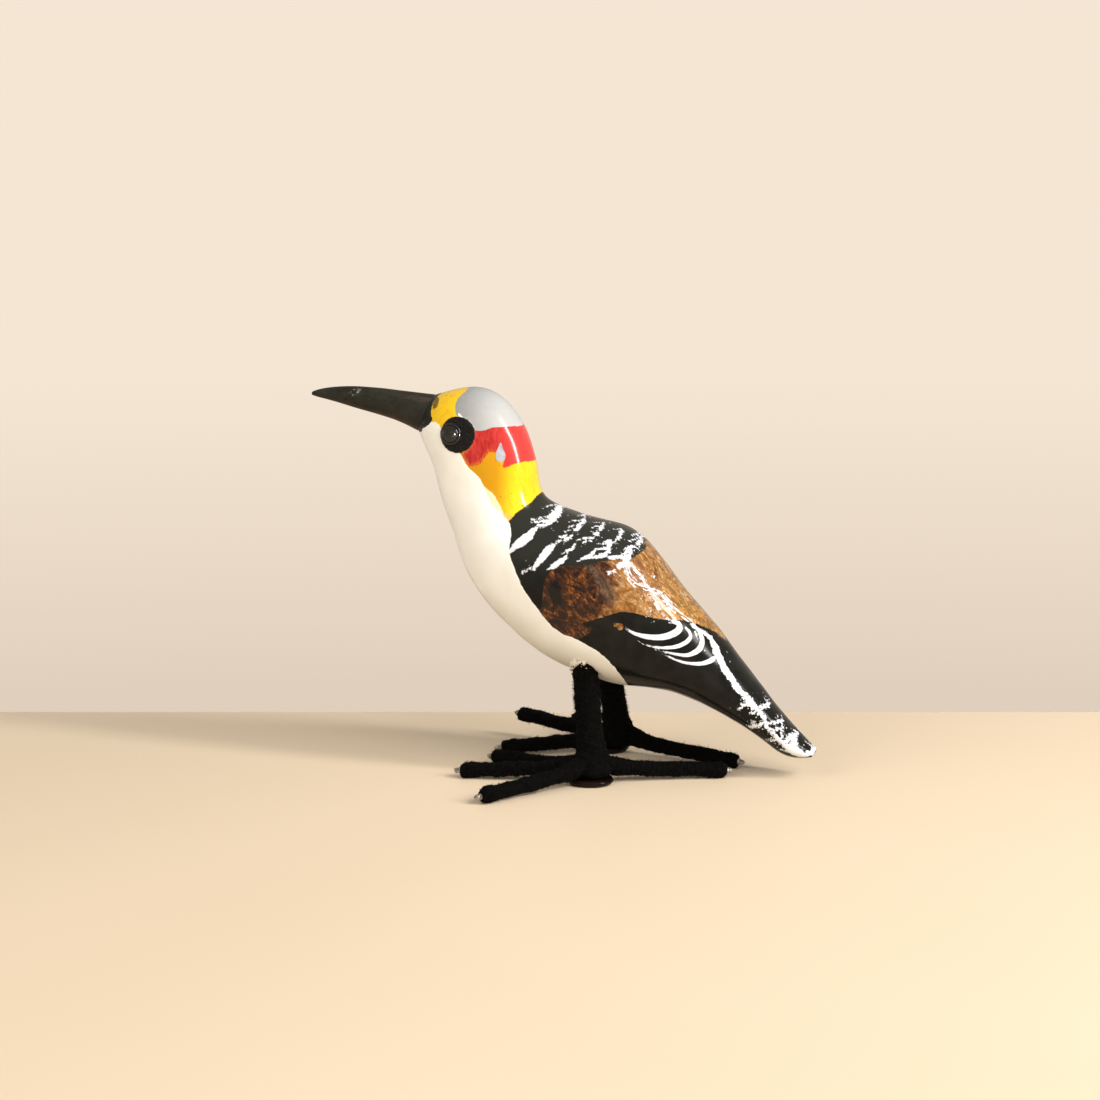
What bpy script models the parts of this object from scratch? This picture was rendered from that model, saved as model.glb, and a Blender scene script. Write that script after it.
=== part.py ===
"""A small bird carved from one piece of wood, on wire legs wound with thread.

The carving takes a separate beak on a round tenon, two bead eyes on posts, and two legs in blind sockets.
Each leg is four wires held in one bundle by a wound sleeve. Below the ankle each wire is a toe with a
wound sleeve of its own, and a round pad under the ankle stands on the table.

Named sizes are millimetres; meshes are made in metres. +Z is up, the beak points along -X, the bird's
left side faces -Y, and the table is z = 0.
"""

import math

import bmesh
import bpy
import numpy as np
from mathutils import Matrix, Vector

MM = 0.001

# ---- the carving -------------------------------------------------------------------------------
BODY_LENGTH = 80.0  # face to tail tip, along X
BODY_HEIGHT = 73.0  # tail tip to crown
BODY_WIDTH = 28.0  # across the wings
BELLY_HEIGHT = 20.2  # table to the belly, where the legs go in
BODY_ROWS = 3  # rings between one station and the next
BODY_SIDES = 36

# Each station is a slice through the carving: the top and the bottom of the slice as x and z, with z from
# the belly, and half its width. They run from the face, over the neck, to the end of the tail.
CARVING = (
    (-26.0, 55.0, -29.5, 47.5, 3.6),
    (-23.0, 56.0, -28.5, 45.0, 5.9),
    (-18.0, 57.0, -27.0, 42.0, 7.6),
    (-13.0, 55.5, -26.0, 39.0, 8.4),
    (-9.0, 51.0, -25.5, 36.0, 8.6),
    (-6.5, 45.5, -24.5, 32.5, 8.6),
    (-5.5, 40.0, -23.0, 29.0, 9.0),
    (-5.0, 34.5, -21.5, 24.0, 10.0),
    (0.5, 32.5, -19.5, 19.0, 11.4),
    (7.0, 30.5, -16.0, 13.5, 12.8),
    (13.5, 29.5, -11.0, 8.5, 13.8),
    (18.5, 25.0, -5.0, 3.5, 14.0),
    (24.0, 17.0, 2.5, 0.0, 13.2),
    (30.0, 11.0, 12.0, -3.0, 11.4),
    (35.0, 4.0, 21.5, -2.5, 9.0),
    (40.0, -2.0, 31.0, -7.0, 7.0),
    (44.5, -8.0, 39.5, -11.5, 5.6),
    (48.5, -12.5, 44.5, -16.0, 4.2),
    (50.5, -15.0, 49.5, -15.5, 2.4),
)

# ---- the beak ----------------------------------------------------------------------------------
BEAK_LENGTH = 26.0  # from the top of the face to the point, along X
BEAK_SIDES = 20
BEAK_ROWS = 3
# Slices of the beak as for the carving, with x from the top of the face and z from the same height.
BEAK = (
    (-4.0, 0.5, -6.5, -6.0, 2.9),
    (-8.5, 1.0, -10.5, -4.5, 2.5),
    (-13.0, 1.5, -15.0, -3.5, 2.1),
    (-17.5, 1.8, -19.0, -2.3, 1.6),
    (-21.5, 1.6, -22.5, -1.2, 1.1),
    (-24.5, 1.0, -25.0, -0.4, 0.6),
)
BEAK_POINT = (-26.0, 0.2)
BEAK_BASE_SHARE = 0.97  # the beak's base against the face that it sits on
TENON_RADIUS = 1.6
TENON_LENGTH = 6.0

# ---- the eyes ----------------------------------------------------------------------------------
EYE_RADIUS = 2.2
EYE_DOME = 1.5
EYE_SEAT_DEPTH = 0.6
EYE_POST_RADIUS = 0.7
EYE_POST_LENGTH = 3.6
EYE_STATION = 2.5
EYE_ANGLE = 92.0  # degrees round the slice, from its top

# ---- the legs and feet -------------------------------------------------------------------------
WIRE_RADIUS = 0.6
WIRE_PITCH_RADIUS = 0.95  # the bundle's four wires stand on this circle
WIRE_BEND = 2.2  # radius of each wire's bend at the ankle
WIRE_TIP = 1.6  # bare wire past the end of a toe's sleeve
WIRE_TIP_SHARE = 0.55  # radius at the cut end
# The legs are bent by hand, so each has its own places: x, and y from the middle plane outwards.
LEG_TOP = {"left": (6.0, 8.5), "right": (7.5, 7.5)}  # where its line crosses the height of the belly
ANKLE = {"left": (8.1, 12.6), "right": (9.2, 13.5)}
PAD_CENTRE = {"left": (7.7, 12.6), "right": (6.4, 14.6)}
LEG_SLEEVE_RADIUS = 2.6
LEG_SLEEVE_IN = 5.0  # how far the sleeve goes up past the height of the belly
LEG_WIRE_IN = 11.0  # how far the wires go up past it
KNUCKLE_RADIUS = 4.4
KNUCKLE_HEIGHT = 4.4
KNUCKLE_SIDES = 28
TOE_SLEEVE_RADIUS = 1.48
TOE_ROOT_RADIUS = 1.15
TOE_TAPER = 4.0  # length over which a toe's sleeve grows from its root
TOE_SIDES = 10
ANKLE_WIRE_HEIGHT = 3.5
PAD_RADIUS = 4.6
PAD_HEIGHT = 1.2
PAD_EDGE = 0.45
PAD_FOOT_EDGE = 0.4
PAD_SIDES = 32

# Each toe: name, heading in degrees from straight ahead (outwards is positive), reach of its sleeve from
# the ankle, height of its centre at the end.
TOES = {
    "left": (
        ("inner", -26.5, 25.0, 1.5),
        ("middle", 2.0, 26.6, 1.5),
        ("outer", 47.0, 26.7, 1.5),
        ("hind", 200.0, 27.2, 1.5),
    ),
    "right": (
        ("inner", -17.0, 24.7, 1.5),
        ("middle", 22.0, 25.0, 5.0),
        ("outer", 58.0, 25.0, 1.5),
        ("hind", 200.0, 27.6, 1.5),
    ),
}
# Where each toe's wire stands in the bundle, in degrees from the middle toe's heading.
BUNDLE_PLACE = {"middle": 0.0, "outer": 90.0, "hind": 180.0, "inner": -90.0}

# Where the middle plane and the drawing's zero stand, so that the origin is under the middle of the whole.
STANDS_AT = (0.75, -1.4)

# ---- fits --------------------------------------------------------------------------------------
GAP = 0.15  # between two pieces that touch
SOCKET_GAP = 0.3  # round a piece glued into a drilled hole
OVERRUN = 3.0  # how far a cutter runs past the face that it opens


def material(name, colour, roughness, metallic=0.0):
    made = bpy.data.materials.new(name)
    made.use_nodes = True
    shader = made.node_tree.nodes["Principled BSDF"]
    shader.inputs["Base Color"].default_value = (*colour, 1.0)
    shader.inputs["Roughness"].default_value = roughness
    shader.inputs["Metallic"].default_value = metallic
    return made


def add_object(name, data, finish=None):
    made = bpy.data.objects.new(name, data)
    bpy.context.scene.collection.objects.link(made)
    if finish is not None:
        data.materials.append(finish)
    return made


def add_solid(name, bm, finish=None):
    """Makes a bmesh drawn in millimetres a named, smooth-shaded object in metres, in its place."""
    bmesh.ops.remove_doubles(bm, verts=bm.verts, dist=1e-4)
    bmesh.ops.recalc_face_normals(bm, faces=bm.faces)
    bm.transform(Matrix.Scale(MM, 4) @ Matrix.Translation((*STANDS_AT, 0.0)))
    mesh = bpy.data.meshes.new(name)
    bm.to_mesh(mesh)
    bm.free()
    mesh.shade_smooth()
    mesh.set_sharp_from_angle(angle=math.radians(40))
    return add_object(name, mesh, finish)


def cut(target, cutter, operation="DIFFERENCE"):
    """A live Boolean: the cutter or added shape stays as a hidden wire helper."""
    cutter.hide_render = True
    cutter.display_type = "WIRE"
    change = target.modifiers.new(cutter.name, "BOOLEAN")
    change.operation = operation
    change.solver = "EXACT"
    change.object = cutter


def skin(bm, rings, cap_first=True, cap_last=True):
    """Joins rings of points, in order, with quads, and closes the ends with one face each."""
    loops = [[bm.verts.new(point) for point in ring] for ring in rings]
    for one, two in zip(loops, loops[1:]):
        for i in range(len(one)):
            j = (i + 1) % len(one)
            bm.faces.new((one[i], one[j], two[j], two[i]))
    if cap_first:
        bm.faces.new(loops[0])
    if cap_last:
        bm.faces.new(loops[-1])
    return loops


def turned(name, profile, base, axis, sides, finish=None):
    """A profile of (radius, height) points spun about the axis that leaves base."""
    bm = bmesh.new()
    points = [bm.verts.new((radius, 0.0, height)) for radius, height in profile]
    edges = [bm.edges.new(pair) for pair in zip(points, points[1:])]
    bmesh.ops.spin(
        bm, geom=points + edges, cent=(0, 0, 0), axis=(0, 0, 1), angle=math.tau, steps=sides, use_merge=True
    )
    turn = Vector(axis).to_track_quat("Z", "Y").to_matrix().to_4x4()
    bm.transform(Matrix.Translation(base) @ turn)
    return add_solid(name, bm, finish)


def smooth_rows(stations, rows):
    """One row of values per ring, rows rings from each station to the next."""
    return np.array([row_at(stations, i / rows) for i in range((len(stations) - 1) * rows + 1)])


def row_at(stations, station):
    """A uniform cubic B-spline through the end stations and past the others, at a station number."""
    padded = np.vstack([2 * stations[0] - stations[1], stations, 2 * stations[-1] - stations[-2]])
    i = min(int(station), len(padded) - 4)
    t = station - i
    a, b, c, d = padded[i : i + 4]
    return (
        (1 - t) ** 3 * a + (3 * t**3 - 6 * t**2 + 4) * b + (-3 * t**3 + 3 * t**2 + 3 * t + 1) * c + t**3 * d
    ) / 6


def slice_point(row, angle):
    """A point on the ellipse whose height runs from the slice's top to its bottom; angle 0 is its top."""
    top_x, top_z, low_x, low_z, half_width = row
    middle = Vector(((top_x + low_x) / 2, 0.0, (top_z + low_z) / 2))
    half = Vector(((top_x - low_x) / 2, 0.0, (top_z - low_z) / 2))
    return middle + half * math.cos(angle) + Vector((0.0, -half_width * math.sin(angle), 0.0))


def slice_ring(row, sides):
    return [slice_point(row, math.tau * i / sides) for i in range(sides)]


def carving_stations():
    """The carving's table brought to its named length, height and width, and set on its legs."""
    table = np.array(CARVING, float)
    xs, zs = table[:, [0, 2]], table[:, [1, 3]]
    middle = (xs.min() + xs.max()) / 2
    table[:, [0, 2]] = middle + (xs - middle) * BODY_LENGTH / (xs.max() - xs.min())
    table[:, [1, 3]] = zs * BODY_HEIGHT / (zs.max() - zs.min()) + BELLY_HEIGHT
    table[:, 4] *= BODY_WIDTH / (2 * table[:, 4].max())
    return table


def carving_surface(stations, station, angle):
    """A point of the carving and its outward normal."""
    step = 0.05
    row = row_at(stations, station)
    here = slice_point(row, angle)
    along = slice_point(row_at(stations, station + step), angle) - here
    round_ = slice_point(row, angle + step) - here
    normal = round_.cross(along).normalized()
    middle = slice_point(row, 0.0).lerp(slice_point(row, math.pi), 0.5)
    return here, normal if normal.dot(here - middle) > 0 else -normal


def make_carving(stations, finish):
    bm = bmesh.new()
    skin(bm, [slice_ring(row, BODY_SIDES) for row in smooth_rows(stations, BODY_ROWS)])
    return add_solid("body", bm, finish)


def face_plane(stations):
    """The middle of the face, its outward direction, and its top."""
    top, low = slice_point(stations[0], 0.0), slice_point(stations[0], math.pi)
    up = (top - low).normalized()
    outward = Vector((-up.z, 0.0, up.x))
    return (top + low) / 2, outward if outward.x < 0 else -outward, top


def make_beak(stations, body, finish):
    """Base slice on the face, then the drawn slices out to the point, with a tenon into the head."""
    centre, outward, top = face_plane(stations)
    scale = BEAK_LENGTH / -BEAK_POINT[0]
    base = stations[0].copy()
    for pair, middle in (((0, 2), centre.x), ((1, 3), centre.z)):
        for column in pair:
            base[column] = middle + (base[column] - middle) * BEAK_BASE_SHARE
    base[[0, 2]] += outward.x * GAP
    base[[1, 3]] += outward.z * GAP
    base[4] *= BEAK_BASE_SHARE
    drawn = np.array(BEAK, float)
    drawn[:, [0, 2]] = top.x + drawn[:, [0, 2]] * scale
    drawn[:, [1, 3]] += top.z
    rows = smooth_rows(np.vstack([base, drawn]), BEAK_ROWS)
    point = Vector((top.x + BEAK_POINT[0] * scale, 0.0, top.z + BEAK_POINT[1]))
    bm = bmesh.new()
    loops = skin(bm, [slice_ring(row, BEAK_SIDES) for row in rows], cap_last=False)
    end = bm.verts.new(point)
    for one, two in zip(loops[-1], loops[-1][1:] + loops[-1][:1]):
        bm.faces.new((one, two, end))
    beak = add_solid("beak", bm, finish)
    root = centre - outward * TENON_LENGTH
    tenon = ((0.0, 0.0), (TENON_RADIUS, 0.0), (TENON_RADIUS, TENON_LENGTH + 2.0), (0.0, TENON_LENGTH + 2.0))
    cut(beak, turned("beak_tenon", tenon, root, outward, 16), "UNION")
    hole = TENON_RADIUS + GAP
    socket = ((0.0, 0.0), (hole, 0.0), (hole, TENON_LENGTH + OVERRUN), (0.0, TENON_LENGTH + OVERRUN))
    cut(body, turned("beak_socket", socket, root - outward * SOCKET_GAP, outward, 16))


def make_eye(side, mirror, stations, body, finish):
    """A domed bead on a post. The head has a flat seat for the bead and a hole for the post."""
    point, normal = carving_surface(stations, EYE_STATION, mirror * math.radians(EYE_ANGLE))
    seat = point - normal * EYE_SEAT_DEPTH
    rim = EYE_SEAT_DEPTH + 0.2
    dome = [
        (EYE_RADIUS * math.cos(a), rim + (EYE_DOME - 0.2) * math.sin(a))
        for a in np.linspace(0.0, math.pi / 2, 7)
    ]
    post = [(0.0, -EYE_POST_LENGTH), (EYE_POST_RADIUS, -EYE_POST_LENGTH), (EYE_POST_RADIUS, GAP)]
    dome[-1] = (0.0, dome[-1][1])
    turned(f"{side}_eye", post + [(EYE_RADIUS, GAP)] + dome, seat, normal, 24, finish)
    seat_radius, hole_radius = EYE_RADIUS + GAP, EYE_POST_RADIUS + GAP
    bottom = -EYE_POST_LENGTH - SOCKET_GAP
    hole = ((0.0, bottom), (hole_radius, bottom), (hole_radius, 0.0), (seat_radius, 0.0), (seat_radius, OVERRUN))
    cut(body, turned(f"{side}_eye_socket", hole + ((0.0, OVERRUN),), seat, normal, 24))


def bent_path(start, corner, end, bend, steps=6):
    """Straight from start, round an arc of the bend radius at the corner, and straight to the end."""
    into, out = (corner - start).normalized(), (end - corner).normalized()
    turn = into.angle(out)
    cut_back = bend * math.tan(turn / 2)
    first, last = corner - into * cut_back, corner + out * cut_back
    inward = (out - into).normalized()
    centre = corner + inward * (bend / math.cos(turn / 2))
    axis = into.cross(out).normalized()
    arc = [
        centre + Matrix.Rotation(turn * i / steps, 3, axis) @ (first - centre) for i in range(1, steps)
    ]
    return [start, first, *arc, last, end]


def resampled(points, step):
    """The same line with points at an even spacing close to step."""
    marks = np.array([tuple(p) for p in points])
    lengths = np.r_[0.0, np.cumsum(np.linalg.norm(np.diff(marks, axis=0), axis=1))]
    count = max(2, round(lengths[-1] / step) + 1)
    at = np.linspace(0.0, lengths[-1], count)
    return [Vector(p) for p in np.stack([np.interp(at, lengths, marks[:, k]) for k in range(3)], axis=1)]


def rings_along(path, radii, sides):
    """Round rings square to the path, turned as little as possible from one to the next."""
    tangents = [(path[min(i + 1, len(path) - 1)] - path[max(i - 1, 0)]).normalized() for i in range(len(path))]
    side = tangents[0].orthogonal().normalized()
    rings = []
    for i, (point, tangent) in enumerate(zip(path, tangents)):
        if i:
            side = tangents[i - 1].rotation_difference(tangent) @ side
        other = tangent.cross(side)
        rings.append(
            [
                point + (side * math.cos(math.tau * k / sides) + other * math.sin(math.tau * k / sides)) * radii[i]
                for k in range(sides)
            ]
        )
    return rings


def make_tube(name, path, radius, sides):
    bm = bmesh.new()
    skin(bm, rings_along(path, [radius] * len(path), sides))
    return add_solid(name, bm)


def make_sleeve(name, path, inner, outers, sides, finish):
    """A tube with a hole through it: outer rings forwards, inner rings back, joined end to end."""
    bm = bmesh.new()
    outside = rings_along(path, outers, sides)
    inside = rings_along(path, [inner] * len(path), sides)
    skin(bm, outside + inside[::-1] + outside[:1], cap_first=False, cap_last=False)
    return add_solid(name, bm, finish)


def make_wire(name, path, finish):
    """A round wire whose cut end is dressed to a blunt point."""
    curve = bpy.data.curves.new(name, "CURVE")
    curve.dimensions = "3D"
    curve.bevel_depth = WIRE_RADIUS * MM
    curve.bevel_resolution = 2
    curve.use_fill_caps = True
    spline = curve.splines.new("POLY")
    spline.points.add(len(path) - 1)
    for point, place in zip(spline.points, path):
        point.co = (*((place + Vector((*STANDS_AT, 0.0))) * MM), 1.0)
    spline.points[-1].radius = WIRE_TIP_SHARE
    add_object(name, curve, finish)


class Leg:
    """The places that a leg's pieces share: its line, its bundle of wires and its toes."""

    def __init__(self, side):
        self.side = side
        self.outward = -1.0 if side == "left" else 1.0
        self.ankle = Vector((ANKLE[side][0], self.outward * ANKLE[side][1], ANKLE_WIRE_HEIGHT))
        self.belly = Vector((LEG_TOP[side][0], self.outward * LEG_TOP[side][1], BELLY_HEIGHT))
        self.pad = Vector((PAD_CENTRE[side][0], self.outward * PAD_CENTRE[side][1], 0.0))
        self.up = (self.belly - self.ankle).normalized()
        middle = next(toe for toe in TOES[side] if toe[0] == "middle")
        self.forward = middle[1]

    def heading(self, degrees):
        """A level direction: 0 is straight ahead (-X) and outwards is positive."""
        angle = math.radians(degrees)
        return Vector((-math.cos(angle), self.outward * math.sin(angle), 0.0))

    def up_to(self, past_belly):
        """The point of the leg's line this far past the height of the belly."""
        return self.belly + self.up * past_belly

    def toe_path(self, toe):
        """The whole wire: down the bundle, round the ankle and out to the end of the toe's sleeve."""
        name, degrees, reach, tip_height = toe
        offset = self.heading(self.forward + BUNDLE_PLACE[name]) * WIRE_PITCH_RADIUS
        corner = self.ankle + offset
        out = self.heading(degrees)
        end = Vector((self.ankle.x, self.ankle.y, tip_height)) + out * reach
        start = self.up_to(LEG_WIRE_IN) + offset - self.up * offset.dot(self.up)
        return bent_path(start, corner, end, WIRE_BEND)


def make_toe(leg, toe, thread, wire):
    name = f"{leg.side}_{toe[0]}_toe"
    path = leg.toe_path(toe)
    end = path[-1]
    out = (end - path[-2]).normalized()
    tip = [end + out * WIRE_TIP * share for share in (0.6, 1.0)]
    make_wire(f"{name}_wire", [*path, *tip], wire)
    level = Vector((end.x - leg.ankle.x, end.y - leg.ankle.y, 0.0))
    root = end - out * ((level.length - KNUCKLE_RADIUS - 2 * GAP) / math.hypot(out.x, out.y))
    line = resampled([root, end], 2.6)
    grown = [min(1.0, (point - root).length / TOE_TAPER) for point in line]
    outers = [TOE_ROOT_RADIUS + (TOE_SLEEVE_RADIUS - TOE_ROOT_RADIUS) * share for share in grown]
    make_sleeve(f"{name}_sleeve", line, WIRE_RADIUS + GAP, outers, TOE_SIDES, thread)


def make_leg_sleeve(leg, body, thread):
    """The winding round the bundle, wide at the ankle, with a bore for the wires and a way out for each."""
    bottom = PAD_HEIGHT + GAP
    crown = bottom + KNUCKLE_HEIGHT
    knuckle = [(0.0, bottom), (KNUCKLE_RADIUS - 0.5, bottom), (KNUCKLE_RADIUS, bottom + 0.5)]
    knuckle += [
        (LEG_SLEEVE_RADIUS * 0.8 + (KNUCKLE_RADIUS - LEG_SLEEVE_RADIUS * 0.8) * math.cos(a),
         bottom + KNUCKLE_HEIGHT / 2 + KNUCKLE_HEIGHT / 2 * math.sin(a))
        for a in np.linspace(0.0, math.pi / 2, 5)
    ]
    foot = Vector((leg.ankle.x, leg.ankle.y, 0.0))
    name = f"{leg.side}_leg_sleeve"
    sleeve = turned(name, [*knuckle, (0.0, crown)], foot, (0, 0, 1), KNUCKLE_SIDES, thread)
    top = leg.up_to(LEG_SLEEVE_IN)
    low = leg.ankle
    length = (top - low).length
    shank = ((0.0, 0.0), (LEG_SLEEVE_RADIUS, 0.0), (LEG_SLEEVE_RADIUS, length), (0.0, length))
    cut(sleeve, turned(f"{leg.side}_shank", shank, low, leg.up, 20), "UNION")
    bore = WIRE_PITCH_RADIUS + WIRE_RADIUS + 2 * GAP
    through = ((0.0, 0.0), (bore, 0.0), (bore, length + OVERRUN), (0.0, length + OVERRUN))
    cut(sleeve, turned(f"{leg.side}_bundle_bore", through, low, leg.up, 16))
    for toe in TOES[leg.side]:
        way = leg.toe_path(toe)
        way[0] = way[1] + (way[0] - way[1]).normalized() * WIRE_BEND
        way[-1] = way[-2] + (way[-1] - way[-2]).normalized() * (KNUCKLE_RADIUS + OVERRUN)
        cut(sleeve, make_tube(f"{leg.side}_{toe[0]}_way", way, WIRE_RADIUS + GAP, 12))
    wide, narrow = LEG_SLEEVE_RADIUS + GAP, bore
    seat, deep = LEG_SLEEVE_IN + GAP, LEG_WIRE_IN + SOCKET_GAP
    socket = ((0.0, -OVERRUN * 2), (wide, -OVERRUN * 2), (wide, seat), (narrow, seat), (narrow, deep), (0.0, deep))
    cut(body, turned(f"{leg.side}_leg_socket", socket, leg.belly, leg.up, 24))


def make_pad(leg, finish):
    rise = PAD_HEIGHT - PAD_EDGE
    edge = [
        (PAD_RADIUS - PAD_EDGE + PAD_EDGE * math.cos(a), rise + PAD_EDGE * math.sin(a))
        for a in np.linspace(0.0, math.pi / 2, 4)
    ]
    low = [(0.0, 0.0), (PAD_RADIUS - PAD_FOOT_EDGE, 0.0), (PAD_RADIUS, PAD_FOOT_EDGE)]
    profile = [*low, *edge, (0.0, PAD_HEIGHT)]
    turned(f"{leg.side}_foot_pad", profile, leg.pad, (0, 0, 1), PAD_SIDES, finish)


def main():
    for old in list(bpy.data.objects):
        bpy.data.objects.remove(old)
    paint = material("painted_wood", (0.36, 0.17, 0.05), 0.25)
    lacquer = material("black_lacquer", (0.03, 0.03, 0.028), 0.2)
    bead = material("black_bead", (0.01, 0.01, 0.01), 0.08)
    steel = material("bare_wire", (0.62, 0.6, 0.56), 0.3, 1.0)
    thread = material("black_thread", (0.012, 0.012, 0.011), 0.9)
    resin = material("dark_resin", (0.02, 0.012, 0.01), 0.15)
    stations = carving_stations()
    body = make_carving(stations, paint)
    make_beak(stations, body, lacquer)
    for side, mirror in (("left", 1.0), ("right", -1.0)):
        make_eye(side, mirror, stations, body, bead)
        leg = Leg(side)
        make_leg_sleeve(leg, body, thread)
        make_pad(leg, resin)
        for toe in TOES[side]:
            make_toe(leg, toe, thread, steel)


main()
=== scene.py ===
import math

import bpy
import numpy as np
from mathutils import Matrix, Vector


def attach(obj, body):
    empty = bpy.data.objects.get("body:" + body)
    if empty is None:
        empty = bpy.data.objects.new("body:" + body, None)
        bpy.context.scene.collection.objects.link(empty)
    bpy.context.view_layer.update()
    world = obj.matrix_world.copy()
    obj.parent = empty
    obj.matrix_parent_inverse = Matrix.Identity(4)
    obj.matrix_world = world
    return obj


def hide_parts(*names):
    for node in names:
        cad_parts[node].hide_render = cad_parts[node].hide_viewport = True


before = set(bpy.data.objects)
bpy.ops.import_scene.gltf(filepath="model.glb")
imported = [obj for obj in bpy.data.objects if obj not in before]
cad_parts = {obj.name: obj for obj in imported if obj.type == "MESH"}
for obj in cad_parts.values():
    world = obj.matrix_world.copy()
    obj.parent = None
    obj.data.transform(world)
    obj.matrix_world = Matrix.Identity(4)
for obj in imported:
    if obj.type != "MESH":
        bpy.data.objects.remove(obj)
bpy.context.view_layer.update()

# A small bird carved from one piece of wood and painted by hand, on wire legs wound with black thread.
#
# Lengths here are millimetres in the bird's own frame: the beak points along -X, the middle plane is
# y = 0, the bird's left side is at -Y, and the table is z = 0. `to_row` takes them to metres in the row's
# frame. The painted edges and brush marks are kept as distances in millimetres on the carving's points,
# and the finish turns them into paint, so that an edge stays crisp at any size.

MM = 0.001
TURN = 2.0 * math.pi
STANDS_AT = np.array((0.75, -1.4, 0.0))

# ---- the CAD's places and sizes ----------------------------------------------------------------
BELLY_HEIGHT = 20.2
# Slices of the carving: the top and the bottom as x and z, with z from the belly, and half the width.
CARVING = np.array((
    (-26.0, 55.0, -29.5, 47.5, 3.6),
    (-23.0, 56.0, -28.5, 45.0, 5.9),
    (-18.0, 57.0, -27.0, 42.0, 7.6),
    (-13.0, 55.5, -26.0, 39.0, 8.4),
    (-9.0, 51.0, -25.5, 36.0, 8.6),
    (-6.5, 45.5, -24.5, 32.5, 8.6),
    (-5.5, 40.0, -23.0, 29.0, 9.0),
    (-5.0, 34.5, -21.5, 24.0, 10.0),
    (0.5, 32.5, -19.5, 19.0, 11.4),
    (7.0, 30.5, -16.0, 13.5, 12.8),
    (13.5, 29.5, -11.0, 8.5, 13.8),
    (18.5, 25.0, -5.0, 3.5, 14.0),
    (24.0, 17.0, 2.5, 0.0, 13.2),
    (30.0, 11.0, 12.0, -3.0, 11.4),
    (35.0, 4.0, 21.5, -2.5, 9.0),
    (40.0, -2.0, 31.0, -7.0, 7.0),
    (44.5, -8.0, 39.5, -11.5, 5.6),
    (48.9, -12.2, 44.8, -16.5, 4.2),
    (50.9, -14.3, 49.7, -16.0, 2.4),
)) + (0.0, BELLY_HEIGHT, 0.0, BELLY_HEIGHT, 0.0)
# Slices of the beak, with x and z from the top of the face.
BEAK = np.array((
    (-4.0, 0.25, -6.5, -6.0, 2.9),
    (-8.5, 0.7, -10.5, -4.5, 2.5),
    (-13.0, 1.15, -15.0, -3.5, 2.1),
    (-17.5, 1.4, -19.0, -2.4, 1.6),
    (-21.5, 1.15, -22.5, -1.4, 1.1),
    (-24.5, 0.65, -24.9, -0.95, 0.75),
    (-25.7, 0.2, -25.8, -0.65, 0.42),
))
EYE_RADIUS = 2.2
EYE_SEAT_DEPTH = 0.6
EYE_STATION = 2.55
EYE_ANGLE = 92.0
LEG_TOP = {"left": (6.0, 8.5), "right": (7.5, 7.5)}
ANKLE = {"left": (8.1, 12.6), "right": (9.2, 13.5)}
PAD_CENTRE = {"left": (7.7, 12.6), "right": (6.4, 14.6)}
WIRE_RADIUS = 0.6
WIRE_PITCH_RADIUS = 0.95
WIRE_BEND = 2.2
WIRE_TIP = 1.6
LEG_RADIUS = 2.6
LEG_WIRE_IN = 11.0
TOE_RADIUS = 1.48
ANKLE_WIRE_HEIGHT = 3.5
PAD_RADIUS = 4.6
PAD_HEIGHT = 1.2
# Each toe: heading in degrees from straight ahead, outwards positive; reach; height of its end; and its
# wire's place in the bundle, in degrees from the middle toe's heading.
TOES = {
    "left": {
        "inner": (-26.5, 25.0, 1.5, -90.0),
        "middle": (2.0, 26.6, 1.5, 0.0),
        "outer": (47.0, 26.7, 1.5, 90.0),
        "hind": (200.0, 27.2, 1.5, 180.0),
    },
    "right": {
        "inner": (-17.0, 24.7, 1.5, -90.0),
        "middle": (22.0, 25.0, 5.0, 0.0),
        "outer": (58.0, 25.0, 1.5, 90.0),
        "hind": (200.0, 27.6, 1.5, 180.0),
    },
}

# How each wire ends past its sleeve: how far it shows, and how thick it is at its end and a little before.
WIRE_ENDS = {
    ("left", "inner"): (1.5, 0.8, 1.0),
    ("left", "middle"): (1.3, 0.7, 0.9),
    ("left", "outer"): (1.2, 0.85, 1.0),
    ("left", "hind"): (1.0, 0.7, 0.9),
    ("right", "inner"): (1.4, 0.7, 0.95),
    ("right", "middle"): (1.6, 0.12, 0.5),
    ("right", "outer"): (1.2, 0.7, 0.9),
    ("right", "hind"): (1.6, 0.2, 0.8),
}
# How far back from its end each ring of a wire's dressed end lies.
DRESSED_BACK = (1.5, 1.2, 0.9, 0.6, 0.35, 0.15, 0.04, 0.0)
# The ball of crossed thread at an ankle: heights over its foot, and its radius at each.
ANKLE_BALL_HALF = 4.6
ANKLE_BALL_HEIGHTS = (0.0, 0.12, 0.5, 1.2, 2.0, 3.0, 4.2, 5.6, 7.2, 8.6, 9.2)
ANKLE_BALL_RADII = (0.02, 2.2, 3.1, 3.6, 3.7, 3.45, 3.05, 2.78, 2.62, 2.3, 0.02)
THREAD_PITCH = 0.46
CRUMBS = 90

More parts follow.
